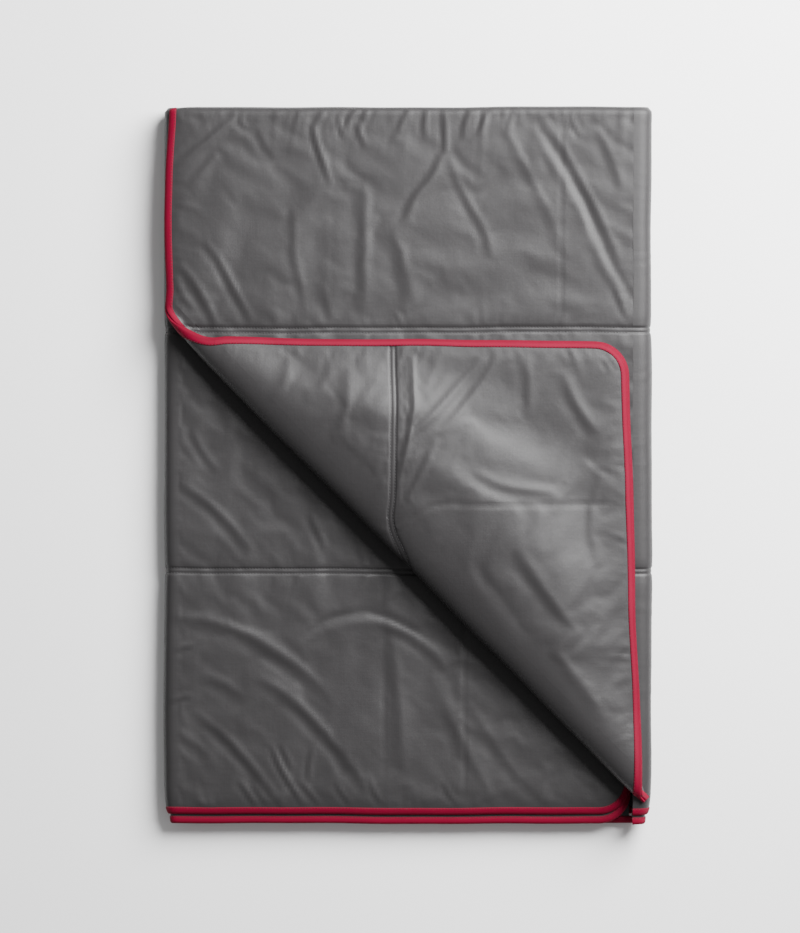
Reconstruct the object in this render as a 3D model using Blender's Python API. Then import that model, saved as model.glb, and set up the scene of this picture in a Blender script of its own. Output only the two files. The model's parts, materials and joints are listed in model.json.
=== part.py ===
"""A padded camp quilt, folded in half and then in thirds, with one corner of the top third turned back.

The quilt is one large padded panel. It is folded in half at its far end, which makes an outer sheet and
an inner sheet, and the doubled panel is then folded in thirds: the left third lies on the centre third,
and the right third lies on top of both. The lower left corner of the top third is turned back along a
diagonal. Each sheet is a face fabric, three rows of batting between sewn seams, and a lining, with a
bound edge.

Frame: metres, +Z up, +Y towards the half fold, +X towards the fold that carries the top third.
The origin is under the middle of the folded quilt, on the surface that it lies on.
"""

import math

import bmesh
import bpy
from mathutils import Matrix, Vector

# Folded size
FOLDED_WIDTH = 0.680
OUTER_LENGTH = 0.984
INNER_OVERHANG = 0.013

# Cloth, batting and tape
SHEET = 0.009
FABRIC = 0.0006
GAP = 0.0003
BINDING_WIDTH = 0.009
CORNER_RADIUS = 0.045
SEAM_WIDTH = 0.003
TOP_ROW = 0.311
MIDDLE_ROW = 0.335

# Where the free edges of the folded thirds lie
TOP_THIRD_INSET = 0.006
LEFT_THIRD_TUCK = 0.002

# The turned-back corner
CORNER_FOLD_HEIGHT = 0.681
CORNER_FOLD_ANGLE = math.radians(45.4)
FLAP_SHORT_X = 0.044
FLAP_SHORT_Y = 0.017
FLAP_TAKE_UP = 0.013
FLAP_EDGE_STEP = 0.009
ROLL_RADIUS = 0.018
ROLL_RAMP = 0.065

# Hinge lines of the two folds that open
RIGHT_HINGE_OUT = 0.012
FLAP_HINGE_RISE = 0.005

ARC_STEPS = 10

# Derived places
LENGTH = OUTER_LENGTH + INNER_OVERHANG
TOP = LENGTH / 2
OUTER_BOTTOM = TOP - OUTER_LENGTH
INNER_BOTTOM = -LENGTH / 2
HALF_FOLD_Y = TOP - SHEET
UPPER_SEAM = TOP - TOP_ROW
LOWER_SEAM = UPPER_SEAM - MIDDLE_ROW

LEFT_FOLD_X = -FOLDED_WIDTH / 2 + 2 * SHEET
LEFT_FOLD_Z = 2 * SHEET
RIGHT_FOLD_X = FOLDED_WIDTH / 2 - 3 * SHEET
RIGHT_FOLD_Z = 3 * SHEET
FLAP_FOLD_Z = 6 * SHEET + FLAP_HINGE_RISE

TOP_FREE_X = -FOLDED_WIDTH / 2 + TOP_THIRD_INSET
LEFT_FREE_X = RIGHT_FOLD_X - LEFT_THIRD_TUCK

FOLD_ALONG = Vector((math.cos(CORNER_FOLD_ANGLE), -math.sin(CORNER_FOLD_ANGLE)))
FOLD_INWARD = Vector((math.sin(CORNER_FOLD_ANGLE), math.cos(CORNER_FOLD_ANGLE)))
FOLD_NOSE = Vector((TOP_FREE_X, OUTER_BOTTOM + CORNER_FOLD_HEIGHT))
ROLL_START = FOLD_NOSE + (ROLL_RADIUS + SHEET) * FOLD_INWARD
ROLL_END = ROLL_START + ROLL_RAMP * FOLD_INWARD


def reflected(point):
    """A plan point turned over the nose of the diagonal fold."""
    return point - 2 * (point - FOLD_NOSE).dot(FOLD_INWARD) * FOLD_INWARD


# Setting up

def clear_scene():
    for obj in list(bpy.data.objects):
        bpy.data.objects.remove(obj)


def collection_named(name):
    made = bpy.data.collections.new(name)
    bpy.context.scene.collection.children.link(made)
    return made


def material_of(name, colour, roughness):
    made = bpy.data.materials.new(name)
    made.use_nodes = True
    shader = made.node_tree.nodes["Principled BSDF"]
    shader.inputs["Base Color"].default_value = (*colour, 1)
    shader.inputs["Roughness"].default_value = roughness
    shader.inputs["Metallic"].default_value = 0
    return made


def empty_at(name, place, parent=None):
    made = bpy.data.objects.new(name, None)
    QUILT.objects.link(made)
    made.location = place
    if parent:
        made.parent = parent
        made.location = Vector(place) - parent.location
    return made


def finish(obj, material, body=None):
    """Put a piece in the quilt's collection, give it its material and hang it on its body's hinge."""
    QUILT.objects.link(obj)
    obj.data.materials.append(MATERIALS[material])
    if body:
        obj.parent = body
        bpy.context.view_layer.update()
        obj.matrix_parent_inverse = body.matrix_world.inverted()
    return obj


# Shapes

def outline_curve(name, outline, half_depth):
    """A closed flat outline with an extrusion each way."""
    curve = bpy.data.curves.new(name, "CURVE")
    curve.dimensions = "2D"
    curve.fill_mode = "BOTH"
    curve.extrude = half_depth
    spline = curve.splines.new("POLY")
    spline.points.add(len(outline) - 1)
    for point, (x, y) in zip(spline.points, outline):
        point.co = (x, y, 0, 1)
    spline.use_cyclic_u = True
    return bpy.data.objects.new(name, curve)


def slab(name, outline, low, high, material, body=None):
    """A plan outline with a height."""
    obj = outline_curve(name, outline, (high - low) / 2)
    obj.location.z = (low + high) / 2
    return finish(obj, material, body)


def channel(name, outline, near, far, material, body=None):
    """An outline in X and Z that runs along Y."""
    obj = outline_curve(name, outline, (far - near) / 2)
    obj.rotation_euler.x = math.pi / 2
    obj.location.y = (near + far) / 2
    return finish(obj, material, body)


def arc(centre, radius, start, end, steps=ARC_STEPS):
    """Points on an arc, with its angles in degrees."""
    turns = [math.radians(start + (end - start) * step / steps) for step in range(steps + 1)]
    return [(centre[0] + radius * math.cos(t), centre[1] + radius * math.sin(t)) for t in turns]


def clipped(outline, point, inward):
    """The part of an outline on the inward side of a line."""
    kept = []
    for here, there in zip(outline, outline[1:] + outline[:1]):
        a = (Vector(here) - Vector(point)).dot(inward)
        b = (Vector(there) - Vector(point)).dot(inward)
        if a >= 0:
            kept.append(tuple(here))
        if (a >= 0) != (b >= 0):
            kept.append(tuple(Vector(here).lerp(Vector(there), a / (a - b))))
    return kept


def between_rows(outline, low, high):
    """The part of an outline between two values of Y."""
    return clipped(clipped(outline, (0, low), Vector((0, 1))), (0, high), Vector((0, -1)))


def left_fold_outline(inner, outer, right_of_centre, right_of_left):
    """A C that wraps the left fold: along the centre third, round the fold and back along the left third."""
    centre = (LEFT_FOLD_X, LEFT_FOLD_Z)
    return (
        [(right_of_centre, LEFT_FOLD_Z - outer)]
        + arc(centre, outer, 270, 90, 2 * ARC_STEPS)
        + [(right_of_left, LEFT_FOLD_Z + outer), (right_of_left, LEFT_FOLD_Z + inner)]
        + arc(centre, inner, 90, 270, 2 * ARC_STEPS)
        + [(right_of_centre, LEFT_FOLD_Z - inner)]
    )


def half_ring(centre, inner, outer, start, end):
    return arc(centre, outer, start, end, 2 * ARC_STEPS) + arc(centre, inner, end, start, 2 * ARC_STEPS)


def swept(name, path, profile, material, body=None):
    """A closed profile carried along a path in X and Z, at the half fold. The profile's -Y faces +Y."""
    guide = outline_curve(name + "_profile", profile, 0)
    GUIDES.objects.link(guide)
    guide.hide_render = True
    guide.display_type = "WIRE"
    curve = bpy.data.curves.new(name, "CURVE")
    curve.dimensions = "2D"
    curve.fill_mode = "BOTH"
    curve.bevel_mode = "OBJECT"
    curve.bevel_object = guide
    curve.use_fill_caps = True
    spline = curve.splines.new("POLY")
    spline.points.add(len(path) - 1)
    for point, (x, z) in zip(spline.points, path):
        point.co = (x, z, 0, 1)
    obj = bpy.data.objects.new(name, curve)
    obj.rotation_euler.x = math.pi / 2
    obj.location.y = HALF_FOLD_Y + GAP
    return as_mesh(finish(obj, material, body))


def as_mesh(obj):
    """The same shape as a mesh whose caps are welded to its sides, so that it can be cut."""
    bpy.context.view_layer.update()
    graph = bpy.context.evaluated_depsgraph_get()
    mesh = bpy.data.meshes.new_from_object(obj.evaluated_get(graph))
    shape = bmesh.new()
    shape.from_mesh(mesh)
    bmesh.ops.remove_doubles(shape, verts=shape.verts, dist=1e-6)
    bmesh.ops.recalc_face_normals(shape, faces=shape.faces)
    shape.to_mesh(mesh)
    shape.free()
    name, place, parent = obj.name, obj.matrix_world.copy(), obj.parent
    bpy.data.objects.remove(obj)
    made = bpy.data.objects.new(name, mesh)
    QUILT.objects.link(made)
    if parent:
        made.parent = parent
        made.matrix_parent_inverse = parent.matrix_world.inverted()
    made.matrix_world = place
    return made


def plan_cutter(name, outline, low, high):
    """A helper solid with a plan outline, which is not a part of the quilt."""
    obj = outline_curve(name, outline, (high - low) / 2)
    obj.location.z = (low + high) / 2
    made = as_mesh(finish(obj, "thread"))
    QUILT.objects.unlink(made)
    GUIDES.objects.link(made)
    made.hide_render = True
    made.display_type = "WIRE"
    return made


def cut(obj, cutter, operation):
    modifier = obj.modifiers.new(operation.lower(), "BOOLEAN")
    modifier.operation = operation
    modifier.object = cutter


# A sheet is two fabrics with rows of batting and sewn seams between them

def levels(low, high):
    """Heights of a sheet's lower fabric, filling and upper fabric."""
    return (
        (low, low + FABRIC),
        (low + FABRIC + GAP, high - FABRIC - GAP),
        (high - FABRIC, high),
    )


def rows(bottom, far):
    """Batting rows and seams between a sheet's bound edge and its half fold, as (name, near, far)."""
    half = SEAM_WIDTH / 2
    batting = (
        ("top", UPPER_SEAM + half + GAP, far),
        ("middle", LOWER_SEAM + half + GAP, UPPER_SEAM - half - GAP),
        ("bottom", bottom, LOWER_SEAM - half - GAP),
    )
    seams = (
        ("upper", UPPER_SEAM - half, UPPER_SEAM + half),
        ("lower", LOWER_SEAM - half, LOWER_SEAM + half),
    )
    return batting, seams


# The centre third and the left third, which the left fold joins

def base_sheet(name, inner, outer, bottom):
    """One sheet of the base, between two radii about the left fold."""
    edge = bottom + BINDING_WIDTH + GAP
    side = LEFT_FREE_X - BINDING_WIDTH - GAP
    corner = corner_cutter(name, edge, side)
    skins = (("face", outer - FABRIC, outer), ("lining", inner, inner + FABRIC))
    if name == "inner":
        skins = (("lining", outer - FABRIC, outer), ("face", inner, inner + FABRIC))
    right = RIGHT_FOLD_X - GAP / 2
    for skin, low, high in skins:
        outline = left_fold_outline(low, high, right, side)
        piece = as_mesh(channel(f"base_{name}_{skin}", outline, edge, HALF_FOLD_Y, "fabric"))
        cut(piece, corner, "DIFFERENCE")
    filling = left_fold_outline(inner + FABRIC + GAP, outer - FABRIC - GAP, right, side)
    batting, seams = rows(edge, HALF_FOLD_Y)
    for row, near, far in batting:
        piece = as_mesh(channel(f"base_{name}_batting_{row}", filling, near, far, "batting"))
        if row == "bottom":
            cut(piece, corner, "DIFFERENCE")
    for seam, near, far in seams:
        channel(f"base_{name}_seam_{seam}", filling, near, far, "thread")
    base_bindings(name, inner, outer, bottom)


def corner_cutter(name, edge, side):
    """What lies outside the rounded corner of the left third, from the middle of the fold upwards."""
    past = 0.02
    inner_radius = CORNER_RADIUS - BINDING_WIDTH - GAP
    centre = (side - inner_radius, edge + inner_radius)
    outline = arc(centre, inner_radius, 270, 360) + [
        (side + past, centre[1]),
        (side + past, edge - past),
        (centre[0], edge - past),
    ]
    return plan_cutter(f"{name}_corner_cutter", outline, LEFT_FOLD_Z, LEFT_FOLD_Z + 3 * SHEET)


def base_bindings(name, inner, outer, bottom):
    """The bound lower edge, and the bound free side with its rounded corner."""
    corner_x = LEFT_FREE_X - CORNER_RADIUS - GAP
    outline = left_fold_outline(inner, outer, RIGHT_FOLD_X - GAP / 2, corner_x)
    channel(f"base_{name}_bottom_binding", outline, bottom, bottom + BINDING_WIDTH, "binding")
    centre = (LEFT_FREE_X - CORNER_RADIUS, bottom + CORNER_RADIUS)
    inside = CORNER_RADIUS - BINDING_WIDTH
    band = (
        arc(centre, CORNER_RADIUS, 270, 360)
        + [(LEFT_FREE_X, HALF_FOLD_Y), (LEFT_FREE_X - BINDING_WIDTH, HALF_FOLD_Y)]
        + arc(centre, inside, 360, 270)
    )
    slab(f"base_{name}_side_binding", band, LEFT_FOLD_Z + inner, LEFT_FOLD_Z + outer, "binding")


def half_disc(radius):
    return arc((0, 0), radius, 180, 360, 2 * ARC_STEPS)


def half_shell(inner, outer):
    return half_ring((0, 0), inner, outer, 180, 360)


def half_fold(name, path, body=None):
    """The bend at the far end, where the outer sheet becomes the inner sheet."""
    radius = SHEET - GAP
    swept(f"{name}_half_fold_shell", path, half_shell(radius - FABRIC, radius), "fabric", body)
    swept(f"{name}_half_fold_batting", path, half_disc(radius - FABRIC - GAP), "batting", body)


def base():
    base_sheet("outer", SHEET + GAP, 2 * SHEET, OUTER_BOTTOM)
    base_sheet("inner", GAP / 2, SHEET, INNER_BOTTOM)
    centre = (LEFT_FOLD_X, LEFT_FOLD_Z)
    half_fold("base", (
        [(RIGHT_FOLD_X - GAP / 2, LEFT_FOLD_Z - SHEET)]
        + arc(centre, SHEET, 270, 90, 2 * ARC_STEPS)
        + [(LEFT_FREE_X, LEFT_FOLD_Z + SHEET)]
    ))


# The right third, which lies on top

def top_sheet(name, low, high, body):
    edge = TOP_FREE_X + BINDING_WIDTH + GAP
    right = RIGHT_FOLD_X - GAP / 2
    start = ROLL_START + GAP * FOLD_INWARD
    plan = clipped(between_rows(upright(edge, right), OUTER_BOTTOM, HALF_FOLD_Y), start, FOLD_INWARD)
    lower, filling, upper = levels(low, high)
    skins = ("lining", "face") if name == "outer" else ("face", "lining")
    slab(f"top_{name}_{skins[0]}", plan, *lower, "fabric", body)
    slab(f"top_{name}_{skins[1]}", plan, *upper, "fabric", body)
    batting, seams = rows(OUTER_BOTTOM, HALF_FOLD_Y)
    for row, near, far in batting:
        slab(f"top_{name}_batting_{row}", between_rows(plan, near, far), *filling, "batting", body)
    for seam, near, far in seams:
        slab(f"top_{name}_seam_{seam}", between_rows(plan, near, far), *filling, "thread", body)
    tape = between_rows(upright(TOP_FREE_X, TOP_FREE_X + BINDING_WIDTH), OUTER_BOTTOM, HALF_FOLD_Y)
    slab(f"top_{name}_side_binding", clipped(tape, start, FOLD_INWARD), low, high, "binding", body)


def top_third(body):
    top_sheet("inner", 4 * SHEET + GAP, 5 * SHEET, body)
    top_sheet("outer", 5 * SHEET + GAP, 6 * SHEET, body)
    middle = 5 * SHEET + GAP / 2
    half_fold("top", [(TOP_FREE_X, middle), (RIGHT_FOLD_X - GAP / 2, middle)], body)


# The corner of the top third that is turned back over it

def flap_outline(inset, step):
    """The turned corner's two free edges and rounded corner, drawn in by inset."""
    plain = reflected(Vector((TOP_FREE_X, OUTER_BOTTOM)))
    corner = plain - Vector((FLAP_SHORT_X - step, FLAP_SHORT_Y))
    left = (reflected(Vector((TOP_FREE_X, 0))) - plain).normalized()
    fold_foot = FOLD_NOSE + FOLD_ALONG * CORNER_FOLD_HEIGHT / math.sin(CORNER_FOLD_ANGLE)
    down = (fold_foot - corner).normalized()
    across = math.acos(left.dot(down)) / 2
    middle = (left + down).normalized()
    centre = corner + middle * CORNER_RADIUS / math.sin(across)
    radius = CORNER_RADIUS - inset
    first = math.degrees(math.atan2(down.x, -down.y))
    last = math.degrees(math.atan2(-left.x, left.y))
    bend = [Vector(point) for point in arc(centre, radius, first, last)]
    return [bend[0] + down, *bend, bend[-1] + left]


def flap_sheet(name, low, high, step, body):
    start = ROLL_END + GAP * FOLD_INWARD
    outer_edge = flap_outline(0, step)
    tape_edge = flap_outline(BINDING_WIDTH, step)
    cloth_edge = flap_outline(BINDING_WIDTH + GAP, step)
    plan = closed_on_fold(cloth_edge, start)
    band = clipped(outer_edge + tape_edge[::-1], (0, OUTER_BOTTOM), Vector((0, 1)))
    band = clipped(band, start, FOLD_INWARD)
    lower, filling, upper = levels(low, high)
    skins = ("face", "lining") if name == "outer" else ("lining", "face")
    slab(f"flap_{name}_{skins[0]}", plan, *lower, "fabric", body)
    slab(f"flap_{name}_{skins[1]}", plan, *upper, "fabric", body)
    corner_x = max(point.x for point in outer_edge[1:-1])
    seam_x = corner_x - (LOWER_SEAM - OUTER_BOTTOM - FLAP_TAKE_UP)
    half = SEAM_WIDTH / 2
    leftward, rightward = Vector((-1, 0)), Vector((1, 0))
    middle = clipped(plan, (seam_x - half - GAP, 0), leftward)
    bottom = clipped(plan, (seam_x + half + GAP, 0), rightward)
    seam = clipped(clipped(plan, (seam_x - half, 0), rightward), (seam_x + half, 0), leftward)
    slab(f"flap_{name}_batting_middle", middle, *filling, "batting", body)
    slab(f"flap_{name}_batting_bottom", bottom, *filling, "batting", body)
    slab(f"flap_{name}_seam", seam, *filling, "thread", body)
    slab(f"flap_{name}_binding", band, low, high, "binding", body)


def closed_on_fold(edge, start):
    """The area inside the flap's free edges and beyond the roll."""
    corner_far = Vector((edge[0].x, edge[-1].y)) - FOLD_INWARD * 2
    plan = clipped([*edge, corner_far], start, FOLD_INWARD)
    return clipped(plan, (0, OUTER_BOTTOM), Vector((0, 1)))


def corner_flap(body):
    low = 6 * SHEET + GAP
    flap_sheet("outer", low, 7 * SHEET, FLAP_EDGE_STEP, body)
    flap_sheet("inner", 7 * SHEET + GAP, 8 * SHEET, 0, body)


# The bends of the two folds that open

def right_fold():
    """The bend that joins the centre third to the top third, round the left third's free edge."""
    centre = (RIGHT_FOLD_X + GAP / 2, RIGHT_FOLD_Z)
    sheets = (
        ("outer", 2 * SHEET + GAP, 3 * SHEET, OUTER_BOTTOM),
        ("inner", SHEET + GAP, 2 * SHEET, INNER_BOTTOM),
    )
    for name, inner, outer, bottom in sheets:
        outline = half_ring(centre, inner, outer, -90, 90)
        edge = bottom + BINDING_WIDTH
        channel(f"right_fold_{name}_sheet", outline, edge + GAP, HALF_FOLD_Y, "fabric")
        channel(f"right_fold_{name}_binding", outline, bottom, edge, "binding")
    bend = arc((RIGHT_FOLD_X + 3 * GAP, RIGHT_FOLD_Z), 2 * SHEET, -90, 90, 2 * ARC_STEPS)
    path = [(RIGHT_FOLD_X + GAP, bend[0][1]), *bend, (RIGHT_FOLD_X + GAP, bend[-1][1])]
    swept("right_fold_half_fold", path, half_disc(SHEET - GAP), "fabric")


def roll_section(inner, outer):
    """A strip along the roll's section, half round and then a ramp, between two offsets from its middle."""
    top = 5 * SHEET + 2 * ROLL_RADIUS
    drop = 2 * ROLL_RADIUS - 2 * SHEET
    line = [
        (x, z, Vector((x, z - top + ROLL_RADIUS)).normalized())
        for x, z in arc((0, top - ROLL_RADIUS), ROLL_RADIUS, -90, 90, 2 * ARC_STEPS)
    ]
    for step in range(1, ARC_STEPS + 1):
        share = step / ARC_STEPS
        slope = 6 * share * (1 - share) * drop / ROLL_RAMP
        height = top - drop * share * share * (3 - 2 * share)
        line.append((-ROLL_RAMP * share, height, Vector((-slope, 1)).normalized()))
    outside = [(x + outer * n.x, z + outer * n.y) for x, z, n in line]
    inside = [(x + inner * n.x, z + inner * n.y) for x, z, n in line]
    return outside + inside[::-1]


def corner_roll(body):
    """The roll of both sheets along the diagonal, and the bound edges that go round it."""
    tape_end = TOP_FREE_X + BINDING_WIDTH
    far = RIGHT_FOLD_X - GAP
    outward = -FOLD_INWARD
    sheets = (
        ("outer", -SHEET + GAP, -GAP / 2, FLAP_EDGE_STEP),
        ("inner", GAP / 2, SHEET - GAP, 0),
    )
    for name, low, high, step in sheets:
        ramp = clipped(closed_on_fold(flap_outline(0, step), ROLL_START), ROLL_END, outward)
        bend = clipped(upright(tape_end + GAP, far), ROLL_START, outward)
        tape = clipped(upright(TOP_FREE_X, tape_end), ROLL_START, outward)
        roll_piece(f"corner_roll_{name}_sheet", low, high, "fabric", (bend, ramp), body)
        roll_piece(f"corner_roll_{name}_binding", low, high, "binding", (tape,), body)


def upright(left, right):
    """A plan rectangle as long as the outer sheet."""
    return [(left, TOP), (right, TOP), (right, OUTER_BOTTOM), (left, OUTER_BOTTOM)]


def roll_piece(name, low, high, material, outlines, body):
    """A length of the roll, cut to plan outlines that meet where the half round ends."""
    obj = outline_curve(name, roll_section(low, high), FOLDED_WIDTH)
    outward = -FOLD_INWARD.to_3d()
    up = Vector((0, 0, 1))
    turned = Matrix((outward, up, outward.cross(up))).transposed()
    middle = ROLL_START + FOLD_ALONG * FOLDED_WIDTH / 2
    obj.matrix_world = Matrix.Translation((*middle, 0)) @ turned.to_4x4()
    cutters = [
        plan_cutter(f"{name}_cutter_{count}", [Vector(p) for p in outline], 0, 12 * SHEET)
        for count, outline in enumerate(outlines)
    ]
    for other in cutters[1:]:
        cut(cutters[0], other, "UNION")
    cut(as_mesh(finish(obj, material, body)), cutters[0], "INTERSECT")


clear_scene()
QUILT = collection_named("camp_quilt")
GUIDES = collection_named("cutters")
MATERIALS = {
    "fabric": material_of("charcoal_fabric", (0.115, 0.111, 0.113), 0.5),
    "batting": material_of("white_batting", (0.78, 0.78, 0.76), 0.95),
    "thread": material_of("dark_thread", (0.03, 0.03, 0.032), 0.7),
    "binding": material_of("red_binding_tape", (0.42, 0.018, 0.055), 0.6),
}
RIGHT_HINGE = empty_at("top_third_hinge", (RIGHT_FOLD_X + RIGHT_HINGE_OUT, 0, RIGHT_FOLD_Z))
FLAP_HINGE = empty_at("corner_flap_hinge", (*FOLD_NOSE, FLAP_FOLD_Z), RIGHT_HINGE)
base()
top_third(RIGHT_HINGE)
corner_flap(FLAP_HINGE)
right_fold()
corner_roll(RIGHT_HINGE)
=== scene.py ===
# %% [markdown]
# # A padded camp quilt, folded and with one corner turned back
# The quilt is one large padded sheet with a bound edge. It is folded in half at its far end, then in thirds,
# and the lower left corner of the top third is turned back along a diagonal. The frame gives the solids that
# carry the motion. This script makes the cloth that is seen: the padded sheets with their seams and wrinkles,
# the folded tape along the edges, and the stitches. Everything is in metres, with +Z up.

# %% Load the frame
import json
import math

import bmesh
import bpy
import numpy as np
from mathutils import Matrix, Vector
from mathutils.kdtree import KDTree


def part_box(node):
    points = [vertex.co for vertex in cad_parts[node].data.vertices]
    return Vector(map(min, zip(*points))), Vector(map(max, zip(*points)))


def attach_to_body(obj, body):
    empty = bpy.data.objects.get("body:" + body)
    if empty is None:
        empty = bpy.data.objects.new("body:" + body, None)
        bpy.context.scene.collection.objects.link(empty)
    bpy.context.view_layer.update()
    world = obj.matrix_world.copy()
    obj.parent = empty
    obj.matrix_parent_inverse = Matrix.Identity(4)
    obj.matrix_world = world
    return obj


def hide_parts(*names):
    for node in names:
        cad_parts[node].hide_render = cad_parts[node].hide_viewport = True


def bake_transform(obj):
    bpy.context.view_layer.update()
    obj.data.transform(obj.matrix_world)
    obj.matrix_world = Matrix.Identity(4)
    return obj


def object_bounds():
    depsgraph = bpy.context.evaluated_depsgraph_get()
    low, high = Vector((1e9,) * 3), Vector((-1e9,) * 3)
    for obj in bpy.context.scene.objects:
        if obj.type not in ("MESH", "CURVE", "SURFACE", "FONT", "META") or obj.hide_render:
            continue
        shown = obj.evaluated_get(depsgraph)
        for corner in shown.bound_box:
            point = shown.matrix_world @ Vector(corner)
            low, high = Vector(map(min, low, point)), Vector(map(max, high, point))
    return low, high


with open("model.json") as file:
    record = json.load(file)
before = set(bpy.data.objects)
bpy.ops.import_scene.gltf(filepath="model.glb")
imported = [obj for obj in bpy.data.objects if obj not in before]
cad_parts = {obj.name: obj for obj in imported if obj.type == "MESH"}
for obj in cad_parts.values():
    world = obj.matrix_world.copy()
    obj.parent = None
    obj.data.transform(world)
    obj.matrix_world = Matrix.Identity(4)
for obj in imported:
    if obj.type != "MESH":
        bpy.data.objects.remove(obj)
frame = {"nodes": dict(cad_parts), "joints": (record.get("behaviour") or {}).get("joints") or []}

CAD_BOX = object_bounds()

# %% [markdown]
# ## The sizes that the frame gives
# Most sizes below are read from a solid of the frame, so the cloth goes where the solids are; the corner
# radius and the roll's end radius and crown are given as numbers. Three layers of the doubled quilt lie on
# each other, and each layer is two sheets thick, so the top face of the stack is six sheet thicknesses up.
# The diagonal fold is the hinge of the turned-back corner.

# %% Sizes from the frame
def low(node):
    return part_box(node)[0]


def high(node):
    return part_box(node)[1]


SHEET = high("base_outer_face").z / 4
LEFT_FOLD_X = low("base_outer_face").x + 2 * SHEET
RIGHT_FOLD_X = high("base_outer_face").x
HALF_FOLD_Y = high("base_outer_face").y
OUTER_END = low("base_outer_bottom_binding").y
INNER_END = low("base_inner_bottom_binding").y
TAPE = high("base_outer_bottom_binding").y - OUTER_END
LEFT_FREE_X = high("base_outer_side_binding").x
TOP_FREE_X = low("top_outer_side_binding").x
UPPER_SEAM = (low("base_outer_seam_upper").y + high("base_outer_seam_upper").y) / 2
LOWER_SEAM = (low("base_outer_seam_lower").y + high("base_outer_seam_lower").y) / 2
CORNER_RADIUS = 0.045

hinge = next(joint for joint in frame["joints"] if joint["name"] == "corner_flap_fold")
NOSE = np.array(hinge["pos_m"][:2])
ALONG = np.array(hinge["axis"][:2]) / np.hypot(*hinge["axis"][:2])
INWARD = np.array((-ALONG[1], ALONG[0]))


def nearest_inward(node):
    """How far a solid stays inward of the line along the nose of the diagonal fold."""
    corners = [frame["nodes"][node].matrix_world @ v.co for v in frame["nodes"][node].data.vertices]
    return min((np.array(corner[:2]) - NOSE) @ INWARD for corner in corners)


ROLL_CUT = nearest_inward("top_outer_face")
ROLL_RADIUS = (high("corner_roll_inner_sheet").z - 6 * SHEET) / 2
ROLL_END_RADIUS = 0.012
CROWN_REACH = 0.115
CROWN_RISE = 1.3
DESCENT = 0.16
TOP_MIDDLE = 5 * SHEET
FOLD_LENGTH = (NOSE[1] - OUTER_END) / -ALONG[1]
print(f"sheet {SHEET:.4f}, roll {ROLL_RADIUS:.4f}, roll starts {ROLL_CUT:.4f} inward of its nose")

# %% [markdown]
# ## Folding as a function
# A folded quilt could be bent with modifiers or simulated from flat, but both drift away from the solids.
# Here each fold is a small function from a place on the flat cloth to a place in space. The cloth is
# described by how far a point is across the quilt, how far it is from the half fold along the cloth, and how
# high it is over the middle of its own sheet. The half fold is a tight U. The side folds are half turns of
# one and two sheets' radius, pressed a little blunter than a circle. The diagonal is a soft roll with a broad
# crown, which comes down gently to the turned-back corner.

# %% Fold functions
HALF_SHEET = SHEET / 2
LEFT_RUN = LEFT_FREE_X - LEFT_FOLD_X
CENTRE_START = LEFT_RUN + math.pi * SHEET
CENTRE_END = CENTRE_START + RIGHT_FOLD_X - LEFT_FOLD_X
RIGHT_FOLD_END = CENTRE_END + 2 * math.pi * SHEET


def from_half_fold(y):
    """How far along the cloth a place is from the middle of the half fold."""
    return HALF_FOLD_Y - y + HALF_SHEET * math.pi / 2


def round_half_fold(along, height):
    """The outer sheet is at positive distances, the inner sheet at negative ones. Gives offset and Y."""
    turn = np.clip(along / HALF_SHEET, -math.pi / 2, math.pi / 2)
    run = np.maximum(np.abs(along) - HALF_SHEET * math.pi / 2, 0)
    offset = (HALF_SHEET + height) * np.sin(turn)
    return offset, HALF_FOLD_Y + (HALF_SHEET + height) * np.cos(turn) - run


def squarer(value):
    """Makes a half circle's section blunter, as layers pressed by their own weight are."""
    return np.sign(value) * np.abs(value) ** 0.7


def fold_sides(across, along, height):
    """The left third, the left fold, the centre third and the right fold, measured from the free side."""
    offset, y = round_half_fold(along, height)
    left = np.clip(across, 0, LEFT_RUN)
    left_turn = np.clip((across - LEFT_RUN) / SHEET, 0, math.pi)
    centre = np.clip(across - CENTRE_START, 0, CENTRE_END - CENTRE_START)
    right_turn = np.clip((across - CENTRE_END) / (2 * SHEET), 0, math.pi)
    x = LEFT_FREE_X - left - (SHEET + offset) * squarer(np.sin(left_turn)) + centre
    x += (2 * SHEET + offset) * squarer(np.sin(right_turn))
    lower = 2 * SHEET + (SHEET + offset) * squarer(np.cos(left_turn))
    upper = 3 * SHEET - (2 * SHEET + offset) * squarer(np.cos(right_turn))
    z = np.where(across < CENTRE_END, lower, upper)
    return sway(np.stack((x, y, z), -1))


def bell(distance, width):
    return np.exp(-((distance / width) ** 2))


def ease(value, start, end):
    """Rises smoothly from 0 at start to 1 at end."""
    share = np.clip((value - start) / (end - start), 0, 1)
    return share * share * (3 - 2 * share)


FREE_ACROSS = RIGHT_FOLD_X - TOP_FREE_X


def free_side_bow(y):
    """The free side of the top third bows outwards a little between its seam and the half fold."""
    return 0.0030 * ease(y, 0.40, 0.49) - 0.0024 * bell(y - 0.35, 0.10)


def roll_radius(along_fold):
    """The roll is tight at both ends of the diagonal and fullest in between."""
    share = np.clip(along_fold / FOLD_LENGTH, 0, 1)
    return ROLL_END_RADIUS + (ROLL_RADIUS - ROLL_END_RADIUS) * np.sin(math.pi * share) ** 0.7


CROWN_TURNS = np.linspace(0, math.pi / 2, 80)
CROWN_HEIGHT = CROWN_RISE * ROLL_RADIUS
CROWN_PLACES = np.column_stack((CROWN_REACH * np.cos(CROWN_TURNS), CROWN_HEIGHT * np.sin(CROWN_TURNS)))
CROWN_RUNS = np.append(0, np.cumsum(np.hypot(*np.diff(CROWN_PLACES, axis=0).T)))


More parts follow.
